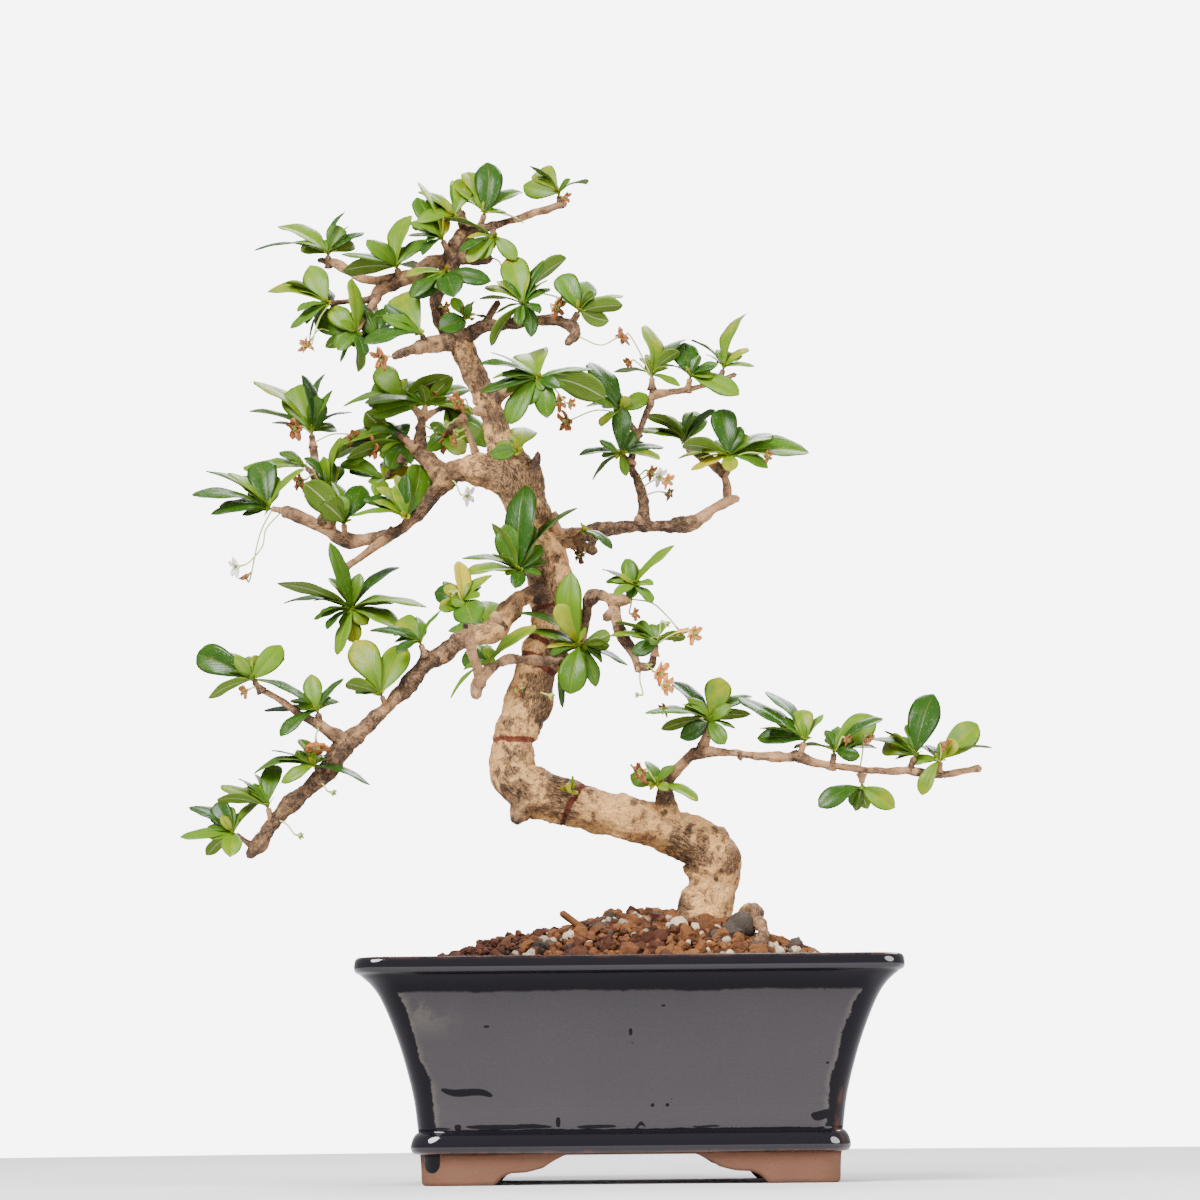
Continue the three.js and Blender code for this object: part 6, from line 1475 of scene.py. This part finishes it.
def glaze_finish(pot):
    """Dark glaze, brown where it is thin over the edges, with a grey film that ends raggedly short of
    the corners and the rim in a paler tide line, dark strokes and small pits in the film, and a slow
    unevenness. The film's grey is partly a painted reflection of the room, and a pale line along the
    rim's lower edge is a painted reflection."""
    paint = Paint("glaze")
    spot = paint.spot()
    x, y, z = paint.millimetres(spot)
    x = x - float(POT_MIDDLE[0])
    front = y.fall(0.0, 1.0)
    inset, outer = paint.mark("inset"), paint.mark("outer")
    ragged = paint.noise(spot, 110.0, 6.0, 0.68)
    slow = paint.noise(spot, 26.0, 3.0, 0.6)
    broad = paint.noise(spot, 14.0)
    shore = inset + (ragged - 0.5) * 7.0 + (slow - 0.5) * 9.0
    lift = z + (ragged - 0.5) * 2.4
    film = shore.step(-3.4, -2.6) * lift.step(25.9, 26.5)
    film = film * (lift + (slow - 0.5) * 3.0).fall(89.6, 91.0) * outer
    fringe = film * shore.fall(-2.4, 0.6) * ragged.step(0.3, 0.6)
    patch = x.fall(-94.0, -76.0) * y.fall(-60.0, -30.0) * z.step(66.0, 82.0)
    patch = patch * (ragged * 0.5 + slow * 0.6).step(0.5, 0.62)
    tide = (fringe * 0.55 + film * patch * 0.7).least(1.0)
    for left, right, level, rise, thick, sway in FILM_STROKES:
        middle = (x - 0.5 * (left + right)) / (0.5 * (right - left))
        line = z - level - (x - left) * rise - (middle * 3.1).sine() * sway + (ragged - 0.5) * 1.2
        stroke = ((middle * middle).bulge() * thick - abs(line)).step(-0.1, 0.35)
        film = film * (1 - stroke * front)
    # Painted reflection: a pale wavy line in the tide colour along the rim's lower rounding, for the
    # reflection it catches.
    rim_reflection_line = z.step(RIM_BOTTOM + 0.2, RIM_BOTTOM + 0.8) * z.fall(RIM_BOTTOM + 1.8, RIM_BOTTOM + 2.8) * outer
    thin = abs(z - RIM_EDGE).step(1.2, 0.2) * 0.4 + abs(z - BAND_EDGE).step(1.4, 0.3) * 0.8
    thin = thin + (0 - inset).step(7.5, 10.0) * z.fall(28.0, 60.0) * x.step(0.0, 1.0) * 0.9
    pit = paint.cells(spot, 55.0).fall(0.016, 0.03)
    # Painted reflection: the film's grey is partly the room's reflection on the flat sides painted into the
    # colour, besides the film itself.
    film_and_reflection_tint = paint.coats(pot.film, (broad, times(0.82, pot.film)), (tide, pot.tide))
    base = paint.coats(
        pot.glaze,
        ((thin * ragged.step(0.35, 0.7)).least(1.0), pot.breaking),
        (rim_reflection_line * (ragged * 0.6 + 0.5), pot.tide),
        (film, film_and_reflection_tint),
        (pit * 0.8, (0.01, 0.008, 0.008)),
    )
    drag = paint.noise(paint.stretched(spot, (60.0, 60.0, 260.0)), 1.0)
    top = z.step(POT_HEIGHT - 0.9, POT_HEIGHT - 0.2)
    rough = film * 0.2 + top * 0.5 + 0.06 + ragged * 0.04 + film * (drag - 0.5) * 0.06
    rim = z.step(RIM_BOTTOM - 0.2, RIM_BOTTOM + 0.8) * (1 - top)
    edges = (rim + 1 - z.step(BAND_TOP - 0.4, BAND_TOP + 0.6)).least(1.0)
    height = broad * 0.8 + ragged * 0.08 - pit * 0.5 + film * 0.12
    return paint.finish(Base_Color=base, Roughness=rough, Normal=paint.bump(height, 0.0012, 0.5), IOR=1.5,
                        Specular_IOR_Level=0.1, Coat_Weight=edges * 0.75 + film * 0.12, Coat_Roughness=0.05)


def clay_finish(pot):
    """Unglazed clay: fine grain, iron specks, and a run of glaze down the left front foot."""
    paint = Paint("bare_clay")
    spot = paint.spot()
    x, y, z = paint.millimetres(spot)
    fine = paint.noise(spot, 900.0, 4.0, 0.6)
    cloud = paint.noise(spot, 60.0)
    tongue = ((10.6 - z) / 4.6).most(0.0).bulge() * 4.1
    run = (tongue - abs(x - (POT_MIDDLE[0] - 94.0))).step(0.0, 0.5) * y.fall(0.0, 1.0)
    base = paint.coats(
        pot.clay,
        (cloud * 0.6, times(0.62, pot.clay)),
        (paint.noise(spot, 1300.0, 1.0).step(0.72, 0.76) * 0.7, (0.03, 0.02, 0.015)),
        (z.fall(0.2, 2.6) * cloud.step(0.4, 0.6) * 0.5, (0.05, 0.04, 0.035)),
        (run, pot.glaze),
        ((z + (cloud - 0.5) * 2.0).step(14.0, 15.0) * 0.8, pot.breaking),
    )
    return paint.finish(Base_Color=base, Roughness=0.8 - run * 0.7,
                        Normal=paint.bump(fine + run * 1.5, 0.0005, 0.5), Specular_IOR_Level=0.12)


class BONSAI_OT_pot(bpy.types.Operator):
    """Pot: glazed walls over a beaded foot, a drained floor, and bare feet with cloud brackets"""

    bl_idname = "bonsai.pot"
    bl_label = "Pot"

    def execute(self, context):
        pot = context.scene.bonsai_pot
        walls = Surface()
        self.walls(walls)
        for side in (-1, 1):
            walls.add(self.floor_half(side)[None], loop=True, inset=50.0, outer=0.0)
        walls.piece("pot_glazed", glaze_finish(pot), "glaze", "pot", turned=False)
        feet = Surface()
        feet.add(self.feet()[None], loop=True)
        feet.piece("pot_feet", clay_finish(pot), "glaze", turned=False)
        return {"FINISHED"}

    def walls(self, surface):
        """The glazed walls: one section carried round, marked with the way in from the nearest corner, and
        with where it is the outside between the band and the rim."""
        body = curve(BODY_ROWS, 2.0)[0]
        outside = [*((BAND_HALF - inwards, z) for inwards, z in BAND_ROWS), *zip(body[:, 0], body[:, 2]),
                   *((RIM_HALF - inwards, z) for inwards, z in RIM_ROWS)]
        mouth = BODY_TOP_HALF - WALL
        inner = np.linspace(RIM_BOTTOM, 24, 16)
        foot = BODY_FOOT_HALF - WALL
        inside = [*((mouth + outwards, z) for outwards, z in LIP_ROWS), *zip(pot_half(inner) - WALL, inner),
                  (foot - 1.5, FLOOR_TOP), (foot - 4, FLOOR_TOP - 0.2), (foot - 4, FLOOR_BOTTOM - 0.1)]
        profile = np.array(outside + inside)
        row = np.arange(len(profile))
        radius = np.where(row < len(outside), CORNER_RADIUS, CORNER_RADIUS - 2.0)
        rings = rounded_rings(profile[:, 0], profile[:, 1], radius)
        sag = 0.3 * noise(rings / 55, 3)[..., None] * np.column_stack([OUTWARD, 0 * OUTWARD[:, 0]])
        straight = np.min(1 - np.abs(ANCHORS) + (np.abs(OUTWARD) > 0.5) * 9, axis=1)
        inset = np.where(CORNER_TURN > 0, -CORNER_RADIUS * CORNER_TURN, straight * 100)
        outer = (row >= len(BAND_ROWS)) & (row <= len(outside) - len(RIM_ROWS))
        surface.add((rings + sag)[None], loop=True, inset=inset, outer=outer.astype(float)[:, None])

    def floor_half(self, side):
        """Half of the floor round its drain hole: rings from the hole's circle to the half's outline."""
        way = around(np.linspace(0, 2 * np.pi, 72, endpoint=False), (1, 0), (0, 1))
        circle = np.array((side * DRAIN_SPACING / 2, 0)) + DRAIN_RADIUS * way
        half = BODY_FOOT_HALF - WALL - 3
        reach = np.array((half / 2, half - POT_NARROWER))
        outline = np.array((side * half / 2, 0)) + way / np.max(np.abs(way) / reach, axis=1, keepdims=True)
        rows = [(0, FLOOR_TOP - 0.6), (0.012, FLOOR_TOP), (0.3, FLOOR_TOP), (1, FLOOR_TOP), (1, FLOOR_BOTTOM),
                (0.3, FLOOR_BOTTOM), (0.012, FLOOR_BOTTOM), (0, FLOOR_BOTTOM + 0.6)]
        return np.stack([np.column_stack([circle * (1 - share) + outline * share, np.full(len(way), z)])
                         for share, z in rows])

    def feet(self):
        """The foot ring: a section carried round, whose lower edge climbs the cloud bracket between feet."""
        around_foot = rounded_rings([FOOT_HALF], [0], [CORNER_RADIUS])[0]
        long_side = np.abs(OUTWARD[:, 1]) > 0.99
        short_side = np.abs(OUTWARD[:, 0]) > 0.99
        front_in = FOOT_HALF - FOOT_LENGTH - np.abs(around_foot[:, 0])
        side_in = (FOOT_HALF - POT_NARROWER - SIDE_FOOT_LENGTH - np.abs(around_foot[:, 1])) / SIDE_ARCH_NARROW
        inward = np.where(long_side, front_in, np.where(short_side, side_in, -1))
        low = np.interp(np.where(CORNER_TURN > 0, -1, inward), ARCH_IN, ARCH_UP)
        outwards, share, radius = np.array(FOOT_ROWS).T
        section = rounded_rings(FOOT_HALF + outwards, 0 * share, radius)
        section[..., 2] = low + (BAND_BOTTOM + 1.0 - low) * share[:, None]
        return section


class BONSAI_OT_screens(bpy.types.Operator):
    """Drain screens: the solids keep their shape and get woven plastic"""

    bl_idname = "bonsai.screens"
    bl_label = "Drain screens"

    def execute(self, context):
        paint = Paint("screen_plastic")
        weave = paint.cells(paint.spot(), 1400.0)
        base = paint.mix(weave.step(0.1, 0.6), (0.012, 0.012, 0.013), (0.035, 0.035, 0.037))
        finish = paint.finish(Base_Color=base, Roughness=0.55 + weave * 0.2,
                              Normal=paint.bump(weave, 0.0003, 0.5))
        for name in ("drain_screen_left", "drain_screen_right"):
            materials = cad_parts[name].data.materials
            materials.clear()
            materials.append(finish)
        return {"FINISHED"}


# Stage

class BONSAI_OT_stage(bpy.types.Operator):
    """Stage: a pale floor, soft lights and the camera in front"""

    bl_idname = "bonsai.stage"
    bl_label = "Stage"

    def execute(self, context):
        stage = context.scene.bonsai_stage
        self.floor(stage)
        self.lights(stage)
        self.surroundings(context, stage)
        self.camera(context, stage)
        return {"FINISHED"}

    def floor(self, stage):
        mesh = bpy.data.meshes.new("floor")
        shape = bmesh.new()
        bmesh.ops.create_circle(shape, cap_ends=True, segments=128, radius=stage.floor_radius)
        shape.to_mesh(mesh)
        shape.free()
        paint = Paint("floor")
        cloud = paint.noise(paint.spot(), 3.0, 2.0)
        base = paint.mix(cloud * 0.12, stage.floor, times(0.9, stage.floor))
        mesh.materials.append(paint.finish(Base_Color=base, Roughness=0.7))
        made = bpy.data.objects.new("floor", mesh)
        bpy.context.scene.collection.objects.link(made)

    def lights(self, stage):
        for name, spot, size, power in STUDIO_LIGHTS:
            lamp = bpy.data.lights.new(name, "AREA")
            lamp.shape = "DISK"
            lamp.size = size
            lamp.energy = power * stage.light
            made = bpy.data.objects.new(name, lamp)
            made.location = spot
            made.rotation_euler = (LIGHT_TARGET - Vector(spot)).to_track_quat("-Z", "Y").to_euler()
            made.visible_camera = False
            bpy.context.scene.collection.objects.link(made)

    def surroundings(self, context, stage):
        """An even room, which the camera itself sees as a brighter backdrop."""
        paint = Paint("studio", "worlds")
        room, backdrop = (paint.node("Background", {}, {"Color": stage.sky, "Strength": strength})
                          for strength in (ROOM_LIGHT, BACKDROP_LIGHT))
        seen = paint.node("LightPath", out="Is Camera Ray")
        chosen = paint.node("MixShader", {}, {0: seen, 1: room, 2: backdrop})
        paint.node("OutputWorld", {}, {"Surface": chosen})
        context.scene.world = paint.owner

    def camera(self, context, stage):
        lens = bpy.data.cameras.new("front")
        lens.lens = stage.lens
        lens.sensor_width = 36.0
        lens.clip_start, lens.clip_end = 0.05, 20
        eye = bpy.data.objects.new("front", lens)
        spot = tree_to_frame(np.array((EYE_ACROSS, -EYE_AWAY, EYE_HEIGHT))) * MM
        aim = tree_to_frame(DRAWING_MIDDLE) * MM
        eye.location = spot
        eye.rotation_euler = Vector(aim - spot).to_track_quat("-Z", "Y").to_euler()
        eye.rotation_euler.rotate_axis("Z", -TREE_LEAN)
        context.scene.collection.objects.link(eye)
        context.scene.camera = eye


OPERATORS = (
    BONSAI_OT_stage, BONSAI_OT_pot, BONSAI_OT_soil, BONSAI_OT_screens, BONSAI_OT_trunk, BONSAI_OT_limbs,
    BONSAI_OT_foliage, BONSAI_OT_flowers,
)


class BONSAI_PT_panel(bpy.types.Panel):
    """Lists the pieces of the bonsai"""

    bl_idname = "BONSAI_PT_panel"
    bl_label = "Fukien Tea Bonsai"
    bl_space_type = "VIEW_3D"
    bl_region_type = "UI"
    bl_category = "Bonsai"

    def draw(self, context):
        for operator in OPERATORS:
            self.layout.operator(operator.bl_idname)
        for group in SETTINGS:
            box = self.layout.box()
            settings = getattr(context.scene, group)
            for name in settings.__annotations__:
                box.prop(settings, name)


def register():
    for group in (*SETTINGS.values(), *OPERATORS, BONSAI_PT_panel):
        bpy.utils.register_class(group)
    for name, group in SETTINGS.items():
        setattr(bpy.types.Scene, name, PointerProperty(type=group))


def unregister():
    for name in SETTINGS:
        delattr(bpy.types.Scene, name)
    for group in (BONSAI_PT_panel, *reversed(OPERATORS), *reversed(SETTINGS.values())):
        bpy.utils.unregister_class(group)


def main():
    register()
    for operator in OPERATORS:
        group, name = operator.bl_idname.split(".")
        getattr(getattr(bpy.ops, group), name)()


if __name__ == "__main__":
    main()
